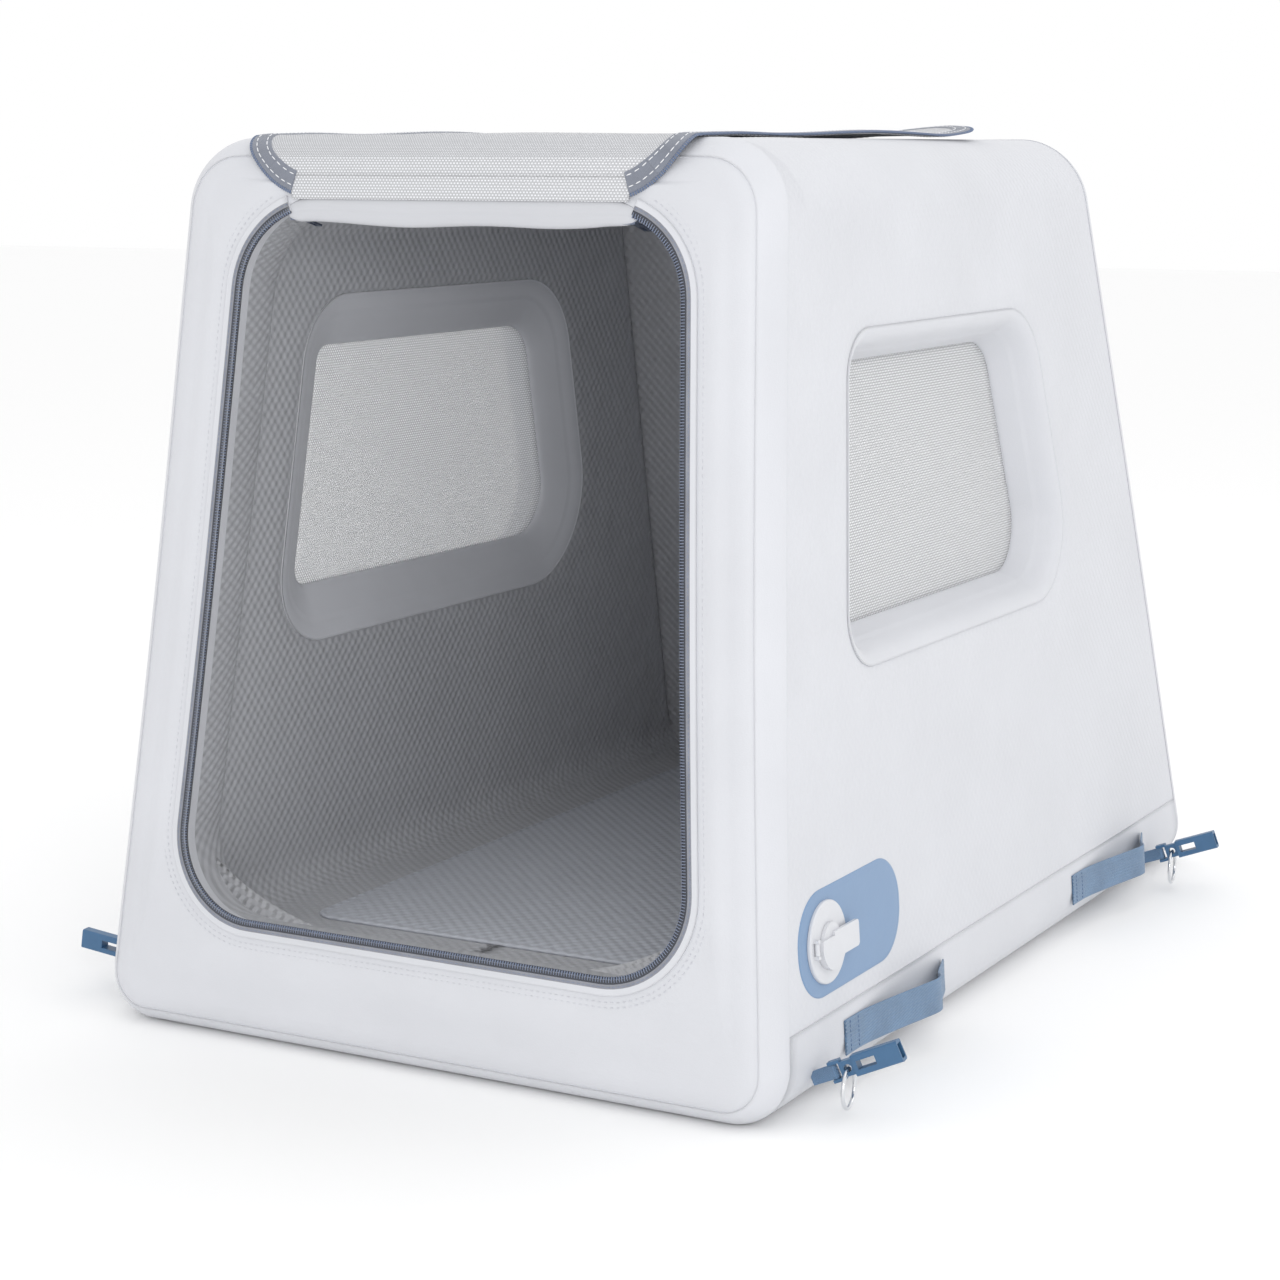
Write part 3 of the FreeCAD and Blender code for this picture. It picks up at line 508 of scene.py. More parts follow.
wall_fabric = coated_fabric("quilted_wall_fabric", SHELL_WHITE, quilt=0.00022, pitch=(0.0080, 0.0105))
# the cabin's inner skin is the shell's white cloth, more deeply quilted; its colour is darkened to 0.72 of the
# shell's as painted shade inside the cabin
cabin_fabric_painted_shade = coated_fabric(
    "quilted_cabin_fabric", shade(SHELL_WHITE, 0.72), quilt=0.0011, pitch=(0.0095, 0.0115))
smooth_fabric = coated_fabric("smooth_fabric", shade(SHELL_WHITE, 1.01), rough=0.5)
collar_fabric = coated_fabric("window_collar_fabric", shade(SHELL_WHITE, 0.99), rough=0.5)
tray_fabric = coated_fabric("tray_fabric", shade(SHELL_WHITE, 0.99), grain=0.00018, rough=0.58)
floor_fabric = coated_fabric("floor_fabric", shade(SHELL_WHITE, 0.85), quilt=0.0012, pitch=(0.011, 0.013))
# the header's cloth is the shell's, darkened to 0.90 as painted shade on a roll that faces down
header_fabric_painted_shade = coated_fabric("header_fabric_painted_shade", shade(SHELL_WHITE, 0.90), rough=0.5)
patch_fabric = coated_fabric("valve_patch_fabric", (0.188, 0.295, 0.463), grain=0.0001, rough=0.5)
print("coated fabrics made")

# %% [markdown]
# Mesh cloth has threads with holes between them. Modelling each hole would take
# millions of faces, so the thread pattern is a product of waves that drives both the
# bump and the shader's alpha: where it is low, one sees through.

# %% Mesh cloth, bound edge, webbing


def mesh_cloth(name, colour, pitch, open_share, soft=0.3, least=0.25, closed=0.85, through=0.0):
    """Threads in both directions, every other row shifted by half a pitch, with holes between that are painted
    darker as shade.

    least and closed are the cloth's opacity in a hole and on a thread.
    """
    made = Shader(name, 0.7, sheen=0.1)
    made.shader.inputs["Subsurface Weight"].default_value = through
    made.shader.inputs["Subsurface Scale"].default_value = 0.003
    made.shader.inputs["Subsurface Radius"].default_value = (1, 1, 1)
    where, u, v, _ = made.along()
    cross = made.wave(v, pitch[1])
    row = made.wave(v, pitch[1] * 2)
    side = made.math("SIGN", row)
    angle = made.math("MULTIPLY", u, 2 * math.pi / pitch[0])
    shifted = made.scaled(side, math.pi / 2, angle)
    lengthwise = made.math("COSINE", shifted)
    both = made.math("MINIMUM", cross, lengthwise)
    thread = made.node("ShaderNodeMapRange", {
        "Value": both, "From Min": open_share - soft, "From Max": open_share + soft}).outputs[0]
    normal = made.bump(thread, 0.0002)
    # holes are painted 0.74 as bright as the threads: painted shade between them
    tint = made.colours(thread, [(0.0, shade(colour, 0.74)), (1.0, colour)])
    seen = made.scaled(thread, closed - least, least)
    return made.finish(tint, normal, alpha=seen)


OPEN_SHARE = -0.2
window_mesh_cloth = mesh_cloth(
    "window_mesh_cloth", (0.93, 0.94, 0.96), (0.0030, 0.0021), OPEN_SHARE,
    least=0.50, closed=0.85, through=0.6)
door_mesh_cloth = mesh_cloth(
    "door_mesh_cloth", (0.74, 0.75, 0.78), (0.0021, 0.0016), OPEN_SHARE, least=0.80, closed=1.0)
door_band_cloth = mesh_cloth(
    "door_band_cloth", (0.80, 0.81, 0.84), (0.0028, 0.0021), OPEN_SHARE, least=0.80, closed=1.0)


def woven_tape(name, colour, pitch, height, rough=0.62):
    """A narrow woven tape: fine crosswise threads and soft lengthwise ribs."""
    made = Shader(name, rough, sheen=0.35)
    where, u, v, _ = made.along()
    threads = made.math("MULTIPLY", made.wave(u, pitch), made.wave(v, pitch * 1.6))
    cloudy = made.noise(where, 40.0, 3.0)
    normal = made.bump(threads, height)
    normal = made.bump(made.noise(where, 700.0, 2.0), 0.0002, 1.0, normal)
    mixed = made.scaled(threads, 0.18, cloudy)
    tint = made.colours(mixed, [(0.25, shade(colour, 0.82)), (0.8, shade(colour, 1.14))])
    return made.finish(tint, normal)


binding_fabric = woven_tape("binding_fabric", (0.225, 0.245, 0.30), 0.0012, 0.00018)
tape_edge_fabric = woven_tape("tape_edge_fabric", (0.27, 0.28, 0.32), 0.0012, 0.00012)
# near-black cloth under the doorway's coil: painted shade beneath the teeth
zip_bed_fabric_painted_shade = woven_tape("zip_bed_fabric_painted_shade", (0.035, 0.04, 0.055), 0.0012, 0.00012)
zip_tape_fabric = woven_tape("zip_tape_fabric", (0.215, 0.24, 0.305), 0.0012, 0.00018)
webbing_fabric = woven_tape("webbing_fabric", (0.120, 0.220, 0.365), 0.0017, 0.00026)
mat_fabric = coated_fabric("mat_fabric", (0.50, 0.52, 0.57), quilt=0.0013, pitch=(0.012, 0.012), rough=0.7)

# %% Plastics, metals and thread


def moulded(name, colour, rough=0.38, coat=0.0, speckle=0.06, grain=0.00006):
    """Moulded plastic or rubber: a faint texture from the mould and slightly uneven gloss."""
    made = Shader(name, rough, coat=coat)
    where, _, _, _ = made.along("Object")
    fine = made.noise(where, 1400.0, 2.0)
    cloudy = made.noise(where, 70.0, 3.0)
    tint = made.colours(cloudy, [(0.3, shade(colour, 1 - speckle)), (0.75, shade(colour, 1 + speckle))])
    rough_map = made.scaled(cloudy, 0.2, rough - 0.1)
    return made.finish(tint, made.bump(fine, grain), rough=rough_map)


def metal(name, colour, rough, grain=0.00003):
    """Bare or plated metal: a little smeared by handling."""
    made = Shader(name, rough, metallic=1.0)
    where, _, _, _ = made.along("Object")
    cloudy = made.noise(where, 160.0, 3.0)
    tint = made.colours(cloudy, [(0.3, shade(colour, 0.9)), (0.7, colour)])
    rough_map = made.scaled(cloudy, 0.18, rough - 0.05)
    return made.finish(tint, made.bump(made.noise(where, 900.0), grain), rough=rough_map)


clip_plastic = moulded("clip_plastic", (0.052, 0.137, 0.262), 0.36)
valve_plastic = moulded("valve_plastic", (0.64, 0.65, 0.68), 0.32, coat=0.15, speckle=0.02)
seal_rubber = moulded("seal_rubber", (0.03, 0.03, 0.032), 0.6)
coil_plastic = moulded("coil_plastic", (0.23, 0.27, 0.37), 0.42)
# the door's half of the zip is the same coil as the doorway's, painted darker as shade
edge_coil_plastic_painted_shade = moulded("edge_coil_plastic_painted_shade", (0.12, 0.17, 0.29), 0.42)
slider_metal = metal("slider_metal", (0.20, 0.23, 0.30), 0.35)
ring_metal = metal("ring_metal", (0.78, 0.79, 0.81), 0.14)
spring_metal = metal("spring_metal", (0.62, 0.62, 0.64), 0.3)
pale_thread = moulded("pale_thread", (0.85, 0.86, 0.88), 0.7, speckle=0.1, grain=0.0001)
white_thread = moulded("white_thread", (0.62, 0.63, 0.67), 0.7, speckle=0.1, grain=0.0001)
blue_thread = moulded("blue_thread", (0.10, 0.18, 0.33), 0.7, speckle=0.1, grain=0.0001)
print("plastics and metals made")

# %% [markdown]
# ## Side walls
# A wall has a window right through it, so it is a doughnut: a loop round the window is
# carried from the wall's outer edge over the outside to the window, through the window
# to the inside, and over the inside back to the wall's edge. On each skin the loop is
# blended from a rectangle to the window's rounded outline in the wall's own directions.

# %% Window outline and tunnel
WINDOW_FRONT, WINDOW_REAR, WINDOW_LOW, WINDOW_HIGH = 0.137, 0.213, 0.316, 0.552
window_corners = [
    (front_y(WINDOW_LOW) + WINDOW_FRONT, WINDOW_LOW * SIDE_STRETCH),
    (rear_y(WINDOW_LOW) - WINDOW_REAR, WINDOW_LOW * SIDE_STRETCH),
    (rear_y(WINDOW_HIGH) - WINDOW_REAR, WINDOW_HIGH * SIDE_STRETCH),
    (front_y(WINDOW_HIGH) + WINDOW_FRONT, WINDOW_HIGH * SIDE_STRETCH)]
window_loop, window_normal = rounded_loop(window_corners, [0.034, 0.060, 0.060, 0.034])
# inset from the window's lip, and depth into the wall, from the outside to the inside
NECK_INSET, NECK_DEPTH = 0.0172, 0.0390
TUNNEL = np.array([
    (-0.0200, 0.0), (-0.0100, 0.0002), (-0.0020, 0.0022), (0.0040, 0.0082), (0.0100, 0.0200),
    (0.0150, 0.0325), (NECK_INSET, 0.0380), (NECK_INSET, 0.0400), (0.0120, 0.0440), (-0.0100, 0.0540),
    (-0.0185, 0.0580), (-0.0260, 0.0597), (-0.0360, WALL)])
tunnel = respace(soften(TUNNEL, 2), 52)
tunnel_way = unit(np.gradient(tunnel, axis=0))
tunnel_out = np.stack([tunnel_way[:, 1], -tunnel_way[:, 0]], -1)


def window_ring(inset, depth):
    """Loops round the window, one for each inset and depth."""
    inset, depth = np.asarray(inset)[:, None], np.asarray(depth)[:, None]
    y = window_loop[:, 0] - inset * window_normal[:, 0]
    v = window_loop[:, 1] - inset * window_normal[:, 1]
    return side_point(y, v, depth)


def square_loop():
    """A loop round the unit square with its corners where the window's are."""
    return rounded_loop([(0, 0), (1, 0), (1, 1), (0, 1)], [0.002] * 4)[0]


def skin_rows(section, low, high, ends, lip, count, place):
    """Rows from the wall's edge to the window's lip on one skin, with their cloth directions."""
    s_low, s_high = section.up_to(low), high
    lip_s = section.up_to(lip[:, 2])
    z = lip[:, 2]
    front, rear = front_y(z) + ends[0] * FRONT_STRETCH, rear_y(z) - ends[1] * REAR_STRETCH
    lip_ab = np.stack([(lip[:, 1] - front) / (rear - front), (lip_s - s_low) / (s_high - s_low)], -1)
    share = np.linspace(0, 1, count)[:, None, None]
    ab = square_loop() * (1 - share) + lip_ab * share
    s = s_low + ab[..., 1] * (s_high - s_low)
    points = place(ab[..., 0], s)
    return points, np.stack([points[..., 1], s], -1)


# %% Right and left walls
SIDES = (("right", False), ("left", True))
COLLAR_SINK, SINK_REACH = 0.0009, 0.008
ROOF_SEAM_S = outer_section.total / 2 - (ROOF_WIDTH / 2 - 0.060)
CEILING_SEAM_S = cabin_section.total / 2 - (inner_half[1] - 0.030)
OUTER_ROWS, INNER_ROWS = 38, 34


def wall_grid():
    """The right wall's loops, their cloth directions and which skin each row is on."""
    lip_out = window_ring(tunnel[:1, 0], tunnel[:1, 1])[0]
    lip_in = window_ring(tunnel[-1:, 0], tunnel[-1:, 1])[0]
    ends = (FRONT_BAND - BAND_LAP, REAR_BAND - BAND_LAP)
    outside, uv_out = skin_rows(
        outer_section, TRAY_TOP - TRAY_LAP, ROOF_SEAM_S, ends, lip_out, OUTER_ROWS,
        lambda a, s: body_point(a, s, 0.0, *ends))
    inside, uv_in = skin_rows(
        cabin_section, FLOOR_TOP, CEILING_SEAM_S, (WALL, WALL), lip_in, INNER_ROWS, cabin_point)
    along = running_length(tunnel)
    sunk = COLLAR_SINK * ease(np.minimum(along, along[-1] - along) / SINK_REACH)
    under = tunnel - tunnel_out * sunk[:, None]
    through = breathe(window_ring(under[1:-1, 0], under[1:-1, 1]))
    near_out = tunnel[1:-1, 1][:, None, None] < WALL / 2
    uv_through = np.where(
        near_out, uv_out[-1] + (through - lip_out)[..., 1:], uv_in[-1] + (through - lip_in)[..., 1:])
    points = np.concatenate([outside, through, inside[::-1]])
    uv = np.concatenate([uv_out, uv_through, uv_in[::-1]])
    row = np.arange(len(points))
    # rows on the cabin side take the cabin cloth, darkened as painted shade
    inner = (row >= len(outside) + len(through) // 2).astype(int)
    return points, uv, inner


def handed(points, left):
    """Points of the right-hand side, or their mirror image where left is true."""
    return points * np.array([-1, 1, 1]) if left else points


wall_points, wall_uv, wall_inner = wall_grid()
wall_kinds = np.repeat(wall_inner, wall_points.shape[1])
for side, left in SIDES:
    wall_piece = ring_surface(
        f"side_wall_{side}", handed(wall_points, left), wall_uv, parts=wall_kinds,
        materials=[wall_fabric, cabin_fabric_painted_shade], slot="quilted_fabric")
    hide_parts(f"{side}_wall")

# %% [markdown]
# ## Window collars and window mesh
# A smooth collar is glued in the window tunnel and over the wall's inner edge, where its
# rim shows as a seam. The mesh is a flat sheet stretched across the narrowest part.

# %% Collars and mesh
COLLAR_RIM_OUT, COLLAR_RIM_IN = -0.0085, -0.0290
MESH_THICKNESS, WINDOW_ROWS = 0.0008, 16
in_wall = tunnel[:, 1] > WALL / 2
collar_rows = np.where(in_wall, tunnel[:, 0] >= COLLAR_RIM_IN, tunnel[:, 0] > COLLAR_RIM_OUT)
collar_line, collar_out = tunnel[collar_rows], tunnel_out[collar_rows]
collar_above = collar_line + collar_out * 0.001
collar_base = breathe(window_ring(collar_line[:, 0], collar_line[:, 1]))
collar_top = breathe(window_ring(collar_above[:, 0], collar_above[:, 1]))
collar_normal = unit(collar_top - collar_base)
collar_uv = woven_uv(length_both_ways(window_loop)[None, :], running_length(collar_line)[:, None])
# the collar thins out towards both of its rims
near_rim = np.abs(collar_line[:, 1] - 0.036) > 0.018
collar_lift = np.where(near_rim, 0.0003, 0.0009)[:, None]


def window_sheet():
    """The mesh across the window: loops shrinking from just inside the collar to the middle."""
    edge = window_ring([NECK_INSET - 0.0006], [NECK_DEPTH])[0]
    middle = edge.mean(0)
    share = np.linspace(1, 0.02, WINDOW_ROWS)[:, None, None]
    return breathe(middle + (edge - middle) * share)


mesh_rows = window_sheet()
mesh_uv = mesh_rows[..., 1:]
side_normal = np.array([1, 0, SIDE_SLOPE]) / SIDE_STRETCH
both_faces = np.concatenate([mesh_rows[::-1] - side_normal * MESH_THICKNESS / 2,
                             mesh_rows + side_normal * MESH_THICKNESS / 2])
both_uv = np.concatenate([mesh_uv[::-1], mesh_uv])
for side, left in SIDES:
    collar = skin_surface(
        f"window_collar_{side}_lining", handed(collar_base, left), handed(collar_normal, left),
        -0.0006, collar_lift, collar_uv, wrap_cols=True, materials=[collar_fabric], slot="smooth_fabric")
    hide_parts(f"window_collar_{side}")
    window_mesh = ring_surface(
        f"window_mesh_{side}_sheet", handed(both_faces, left), both_uv, wrap_rows=False,
        materials=[window_mesh_cloth], slot="mesh_fabric")
    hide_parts(f"window_mesh_{side}")

# %% [markdown]
# ## Front frame
# The front frame is a doughnut as well, round the doorway. Its front runs from under the
# edge band to the doorway, turns in through the tunnel, and comes back out behind.

# %% Doorway outline
ZIP_INSET, ZIP_LOW, ZIP_HIGH = 0.057, 0.085, 0.661
ZIP_RADII = [0.078, 0.078, 0.080, 0.080]
TAPE_WIDTH, TAPE_OVERHANG, COIL_WIDTH = 0.011, 0.002, 0.0035


def doorway_corners(inset, low, high):
    """A trapezoid on the front slope, an even distance inside the body's sides."""
    a, b = (half_width(z) - inset * SIDE_STRETCH for z in (low, high))
    low, high = low * FRONT_STRETCH, high * FRONT_STRETCH
    return [(-a, low), (a, low), (b, high), (-b, high)]


door_way, door_way_normal = rounded_loop(doorway_corners(ZIP_INSET, ZIP_LOW, ZIP_HIGH), ZIP_RADII)
HINGE_HALF = 0.148
DOORWAY_STRAIGHT = doorway_corners(ZIP_INSET, ZIP_LOW, ZIP_HIGH)[2][0] - ZIP_RADII[2]
HINGE_V = (ZIP_HIGH - (TAPE_WIDTH - TAPE_OVERHANG) / FRONT_STRETCH + 0.002) * FRONT_STRETCH


def doorway_ring(inset, out):
    """Loops round the doorway, one for each inset and each distance out of the slope."""
    inset, out = np.asarray(inset)[:, None], np.asarray(out)[:, None]
    x = door_way[:, 0] - inset * door_way_normal[:, 0]
    v = door_way[:, 1] - inset * door_way_normal[:, 1]
    return slope_point(x, v, out)


body_loop, body_normal = rounded_loop(BODY_CORNERS, BODY_RADII)
cabin_loop, cabin_normal = rounded_loop(CABIN_CORNERS, CABIN_RADII)


def end_ring(draw, radius, front):
    """Loops of the body's outline drawn in towards the middle of its front or rear face."""
    draw = np.asarray(draw)[:, None]
    reach = np.clip(draw, 0, radius)
    depth = radius - np.sqrt(np.maximum(radius ** 2 - (radius - reach) ** 2, 0))
    x = body_loop[:, 0] - draw * body_normal[:, 0]
    z = body_loop[:, 1] - draw * body_normal[:, 1]
    if front:
        y = front_y(z) + depth * FRONT_STRETCH
    else:
        y = rear_y(z) - depth * REAR_STRETCH
    return np.stack([x, y, z], -1)


def frame_grid():
    """The front frame's loops and their cloth directions."""
    rim = end_ring(np.linspace(SEAM_INSET - 0.003, FRONT_EDGE, 8), FRONT_EDGE, True)
    lip = doorway_ring([0.0], [0.0])[0]
    share = np.linspace(0, 1, 18)[1:, None, None]
    face = rim[-1] * (1 - share) + lip * share
    slope_out = np.array([0, -1, FRONT_SLOPE]) / FRONT_STRETCH
    swell = 0.0020
    face = face + slope_out * swell * np.sin(np.pi * share) ** 2
    turn = respace(soften([
        (0.0, 0.0), (0.0060, 0.0), (0.0090, -0.0016), (0.0100, -0.006), (0.0098, -0.020),
        (0.0088, -0.036), (0.0068, -0.050), (0.0040, -WALL), (-0.0060, -0.0612)], 3), 34)[1:]
    through = doorway_ring(turn[:, 0], turn[:, 1])
    wide = cabin_loop + cabin_normal * 0.0005
    back_edge = np.stack([wide[:, 0], front_y(wide[:, 1]) + WALL * FRONT_STRETCH, wide[:, 1]], -1)
    share = np.linspace(0, 1, 8)[1:, None, None]
    back = through[-1] * (1 - share) + back_edge * share
    rows = np.concatenate([rim, face, through, back])
    tunnel_start = len(rim) + len(face)
    uv = np.stack([rows[..., 0], rows[..., 2]], -1)
    uv[tunnel_start:] = woven_uv(
        rows[tunnel_start:, :, 0] + rows[tunnel_start:, :, 2],
        -np.linspace(0, 0.08, len(rows) - tunnel_start)[:, None])
    # rows past the tunnel's smooth start take the cabin cloth, darkened as painted shade
    smooth_rows = 9
    inner = (np.arange(len(rows)) >= tunnel_start + smooth_rows).astype(int)
    return breathe(rows), uv, inner


frame_points, frame_uv, frame_inner = frame_grid()
frame_kinds = np.repeat(frame_inner, frame_points.shape[1])
front_piece = ring_surface(
    "front_frame_chamber", frame_points, frame_uv, parts=frame_kinds,
    materials=[smooth_fabric, cabin_fabric_painted_shade], slot="smooth_fabric")
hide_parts("front_frame")

# %% [markdown]
# ## Roof, floor and rear wall
# These chambers have no openings. The roof and the floor are flat cushions, made as a
# closed strip carried from front to rear. The rear wall is made of loops that shrink to
# a point on each of its two faces.

# %% Roof and floor


def cushion(name, outline_at, stations, material, slot, node):
    """A closed cross-section carried along y: rows are stations, and both ends run to a point."""
    rows = np.stack([outline_at(share) for share in stations])
    rows = np.concatenate([rows[:1] * 0.9 + rows[:1].mean(1, keepdims=True) * 0.1, rows,
                           rows[-1:] * 0.9 + rows[-1:].mean(1, keepdims=True) * 0.1])
    uv = np.stack([rows[..., 0], rows[..., 1]], -1)
    piece = ring_surface(name, rows, uv, wrap_rows=False, materials=[material], slot=slot)
    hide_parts(node)


def roof_outline(share):
    """Over the roof from right to left, then back along the ceiling."""
    top_s = np.linspace(ROOF_SEAM_S, outer_section.total - ROOF_SEAM_S, 60)
    low_s = np.linspace(cabin_section.total - CEILING_SEAM_S, CEILING_SEAM_S, 50)
    top = body_point(np.full(60, share), top_s, 0.0, FRONT_BAND - BAND_LAP, REAR_BAND - BAND_LAP)
    return np.concatenate([top, cabin_point(np.full(50, share), low_s)])


stations = np.linspace(0, 1, 70)
cushion("roof_chamber", roof_outline, stations, wall_fabric, "quilted_fabric", "roof_panel")


def floor_outline(share):
    """Across the floor and back under it, with a soft groove where it meets each wall."""
    across = np.linspace(-1, 1, 48)
    half = half_width(FLOOR_TOP) - WALL * SIDE_STRETCH
    y_front, y_rear = front_y(FLOOR_TOP) + WALL * FRONT_STRETCH, rear_y(FLOOR_TOP) - WALL * REAR_STRETCH
    y = np.full(48, (1 - share) * y_front + share * y_rear)
    edge = np.minimum((1 - np.abs(across)) * half, min(share, 1 - share) * (y_rear - y_front))
    groove_depth, groove_reach, underside = 0.006, 0.008, 0.004
    drop = groove_depth * np.exp(-np.maximum(edge, 0) / groove_reach)
    top = np.stack([across * half, y, FLOOR_TOP - drop], -1)
    under = np.stack([across[::-1] * half, y, np.full(48, underside)], -1)
    return np.concatenate([top, under])


cushion("floor_chamber", floor_outline, stations, floor_fabric, "quilted_fabric", "floor_panel")

# %% Rear wall


def rear_grid():
    """Loops from the middle of the outer face to its rim, and back over the cabin's rear face."""
    rim = end_ring(np.linspace(REAR_EDGE, SEAM_INSET - 0.003, 8), REAR_EDGE, False)
    middle = rim[0].mean(0)
    share = np.linspace(0.02, 1, 34)[:-1, None, None]
    face = middle + (rim[0] - middle) * share
    z = cabin_loop[:, 1]
    inner = np.stack([cabin_loop[:, 0], rear_y(z) - WALL * REAR_STRETCH, z], -1)
    inner_middle = inner.mean(0)
    back = np.linspace(1, 0.02, 30)[:, None, None]
    inside = inner_middle + (inner - inner_middle) * back
    inner_bow = np.array([0, -0.004, 0])
    inside = inside + inner_bow * (1 - back ** 4)
    return breathe(np.concatenate([face, rim])), inside, len(face) + len(rim)


rear_outside, rear_inside, outside_rows = rear_grid()
rear_points = np.concatenate([rear_outside, rear_inside])
rear_uv = np.stack([rear_points[..., 0], rear_points[..., 2]], -1)
# rows of the cabin's rear face take the cabin cloth, darkened as painted shade
rear_kinds = np.repeat((np.arange(len(rear_points) - 1) >= outside_rows).astype(int), rear_points.shape[1])
rear_piece = ring_surface(
    "rear_wall_chamber", rear_points, rear_uv, wrap_rows=False, parts=rear_kinds,
    materials=[wall_fabric, cabin_fabric_painted_shade], slot="quilted_fabric")
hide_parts("rear_wall")

# %% [markdown]
# ## Edge bands and base tray
# The chambers are joined by bands of smooth fabric glued over the edges. Each is a thin
# skin 0.8 mm proud of the body, so its edges show as fine steps, as glued cloth does.

# %% Bands round the front and rear edges


def band_rows(radius, width, front):
    """From the seam on the end face, round the edge, to the band's edge on the sides."""
    angle = np.linspace(np.arccos(1 - SEAM_INSET / radius), 0, 14)
    draw = radius * (1 - np.cos(angle))
    depth = radius * (1 - np.sin(angle))
    rows = []
    for one_draw, one_depth in zip(draw, depth):
        x = body_loop[:, 0] - one_draw * body_normal[:, 0]
        z = body_loop[:, 1] - one_draw * body_normal[:, 1]
        y = front_y(z) + one_depth * FRONT_STRETCH if front else rear_y(z) - one_depth * REAR_STRETCH
        rows.append(np.stack([x, y, z], -1))
    rows = np.stack(rows)
    keep = depth <= width
    rows, last = rows[keep], rows[keep][-1]
    z = last[:, 2]
    edge_y = front_y(z) + width * FRONT_STRETCH if front else rear_y(z) - width * REAR_STRETCH
    edge = np.stack([last[:, 0], edge_y, z], -1)
    return breathe(np.concatenate([rows, edge[None]]))


def outward(points, normals):
    """Normals turned so that they point away from the middle of the body."""
    middle = np.array([0, -0.05, 0.35])
    sign = np.sign(np.mean(np.einsum("...k,...k", points - middle, normals)))
    return normals * sign


GLUE_SINK = -0.0002
for name, radius, width, front in (
        ("front_edge_band", FRONT_EDGE, FRONT_BAND, True), ("rear_edge_band", REAR_EDGE, REAR_BAND, False)):
    rows = band_rows(radius, width, front)
    normals = outward(rows, grid_normals(rows, wrap_cols=True))
    uv = woven_uv(running_length(body_loop)[None, :], running_length(rows[:, 0])[:, None])
    band = skin_surface(f"{name}_cloth", rows, normals, GLUE_SINK, SKIN, uv, wrap_cols=True,
                        materials=[smooth_fabric], slot="smooth_fabric")
    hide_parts(name)

# %% Base tray
tray_s = outer_section.up_to(TRAY_TOP)
tray_rows = np.linspace(0, 1, 60)[:, None] + np.zeros(150)
tray_cols = np.linspace(-tray_s, tray_s, 150) + np.zeros((60, 1))
tray_points = body_point(tray_rows, tray_cols, 0.0)
tray_normals = outward(tray_points, grid_normals(tray_points))
tray_uv = np.stack([tray_points[..., 1], tray_cols], -1)
tray = skin_surface("base_tray_cloth", tray_points, tray_normals, GLUE_SINK, SKIN, tray_uv,
                    materials=[tray_fabric], slot="tray_fabric")
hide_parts("base_tray")

# %% [markdown]
# ## Stitches and zip teeth
# Both are one small shape repeated hundreds of times along a line. The small shape is a
# pointed capsule of 20 points; all its copies are made at once from the line's own
# directions, so a row of stitches is a single mesh.

# %% Repeated small shapes
# length, width and height of one stitch or tooth, and the pitch of its row
SHELL_STITCH, SHELL_PITCH = (0.0030, 0.0006, 0.0006), 0.0052
TAPE_STITCH, TAPE_PITCH = (0.0032, 0.0006, 0.0006), 0.0042
DOOR_STITCH, DOOR_PITCH = (0.0046, 0.0009, 0.0008), 0.0056
WEBBING_STITCH, WEBBING_PITCH = (0.0027, 0.0007, 0.0006), 0.0033
DOOR_TOOTH, DOOR_TOOTH_PITCH = (0.0030, 0.0015, 0.0021), 0.0020


def capsule(length, width, height, sides=6):
    """A capsule along its first axis: three rings and two ends."""
    turn = np.linspace(0, 2 * np.pi, sides, endpoint=False)
    rings = []
    for x, size in ((-0.36, 0.8), (0.0, 1.0), (0.36, 0.8)):
        rings.append(np.stack([np.full(sides, x * length), np.cos(turn) * width / 2 * size,
                               np.sin(turn) * height / 2 * size], -1))
    ends = np.array([[-length / 2, 0, 0], [length / 2, 0, 0]])
    return np.concatenate(rings + [ends])


def capsule_faces(sides=6):
    """The capsule's quads and its two fans of triangles, by corner number."""
    quads = grid_quads(3, sides, False, True)
    k = np.arange(sides)
    k2 = (k + 1) % sides
    tail = np.stack([np.full(sides, 3 * sides), k2, k], -1)
    nose = np.stack([np.full(sides, 3 * sides + 1), k + 2 * sides, k2 + 2 * sides], -1)
    return quads, np.concatenate([tail, nose])


def repeated(name, line, normals, pitch, size, material, slot, body="root", across=False, margin=0.0):
    """Capsules along a line, each turned to the line and to the surface it lies on."""
    s = running_length(line)

    def along(values, t):
        return np.stack([np.interp(t, s, values[:, k]) for k in range(3)], -1)

    count = max(int((s[-1] - 2 * margin) / pitch), 1)
    t = margin + (np.arange(count) + 0.5) * (s[-1] - 2 * margin) / count
    at = along(line, t)
    ahead = unit(along(line, t + 0.0005) - along(line, t - 0.0005))
    up = unit(along(normals, t))
    sideways = unit(np.cross(up, ahead))
    axes = (sideways, ahead, up) if across else (ahead, sideways, up)
    base = capsule(*size)
    points = at[:, None] + sum(base[None, :, k:k + 1] * axes[k][:, None] for k in range(3))
    quads, triangles = capsule_faces()
    offset = (np.arange(count) * len(base))[:, None, None]
    return add_mesh(name, points.reshape(-1, 3), (quads + offset).reshape(-1, 4),
                    (triangles + offset).reshape(-1, 3), materials=[material], body=body, slot=slot)


# %% [markdown]
# ## Doorway zip
# A woven tape is sewn round the doorway, flat on the front, and carries a nylon coil on
# its inner edge. Both stop at the two ends of the hinge, where the door is sewn on.

# %% Doorway zip and its stitches
open_part = ~((np.abs(door_way[:, 0]) < HINGE_HALF) & (door_way[:, 1] > 0.5))
first = int(np.argmax(~open_part & np.roll(open_part, 1)))
order = np.roll(np.arange(len(door_way)), -first)
order = order[open_part[order]]
slope_normal = np.array([0, -1, FRONT_SLOPE]) / FRONT_STRETCH


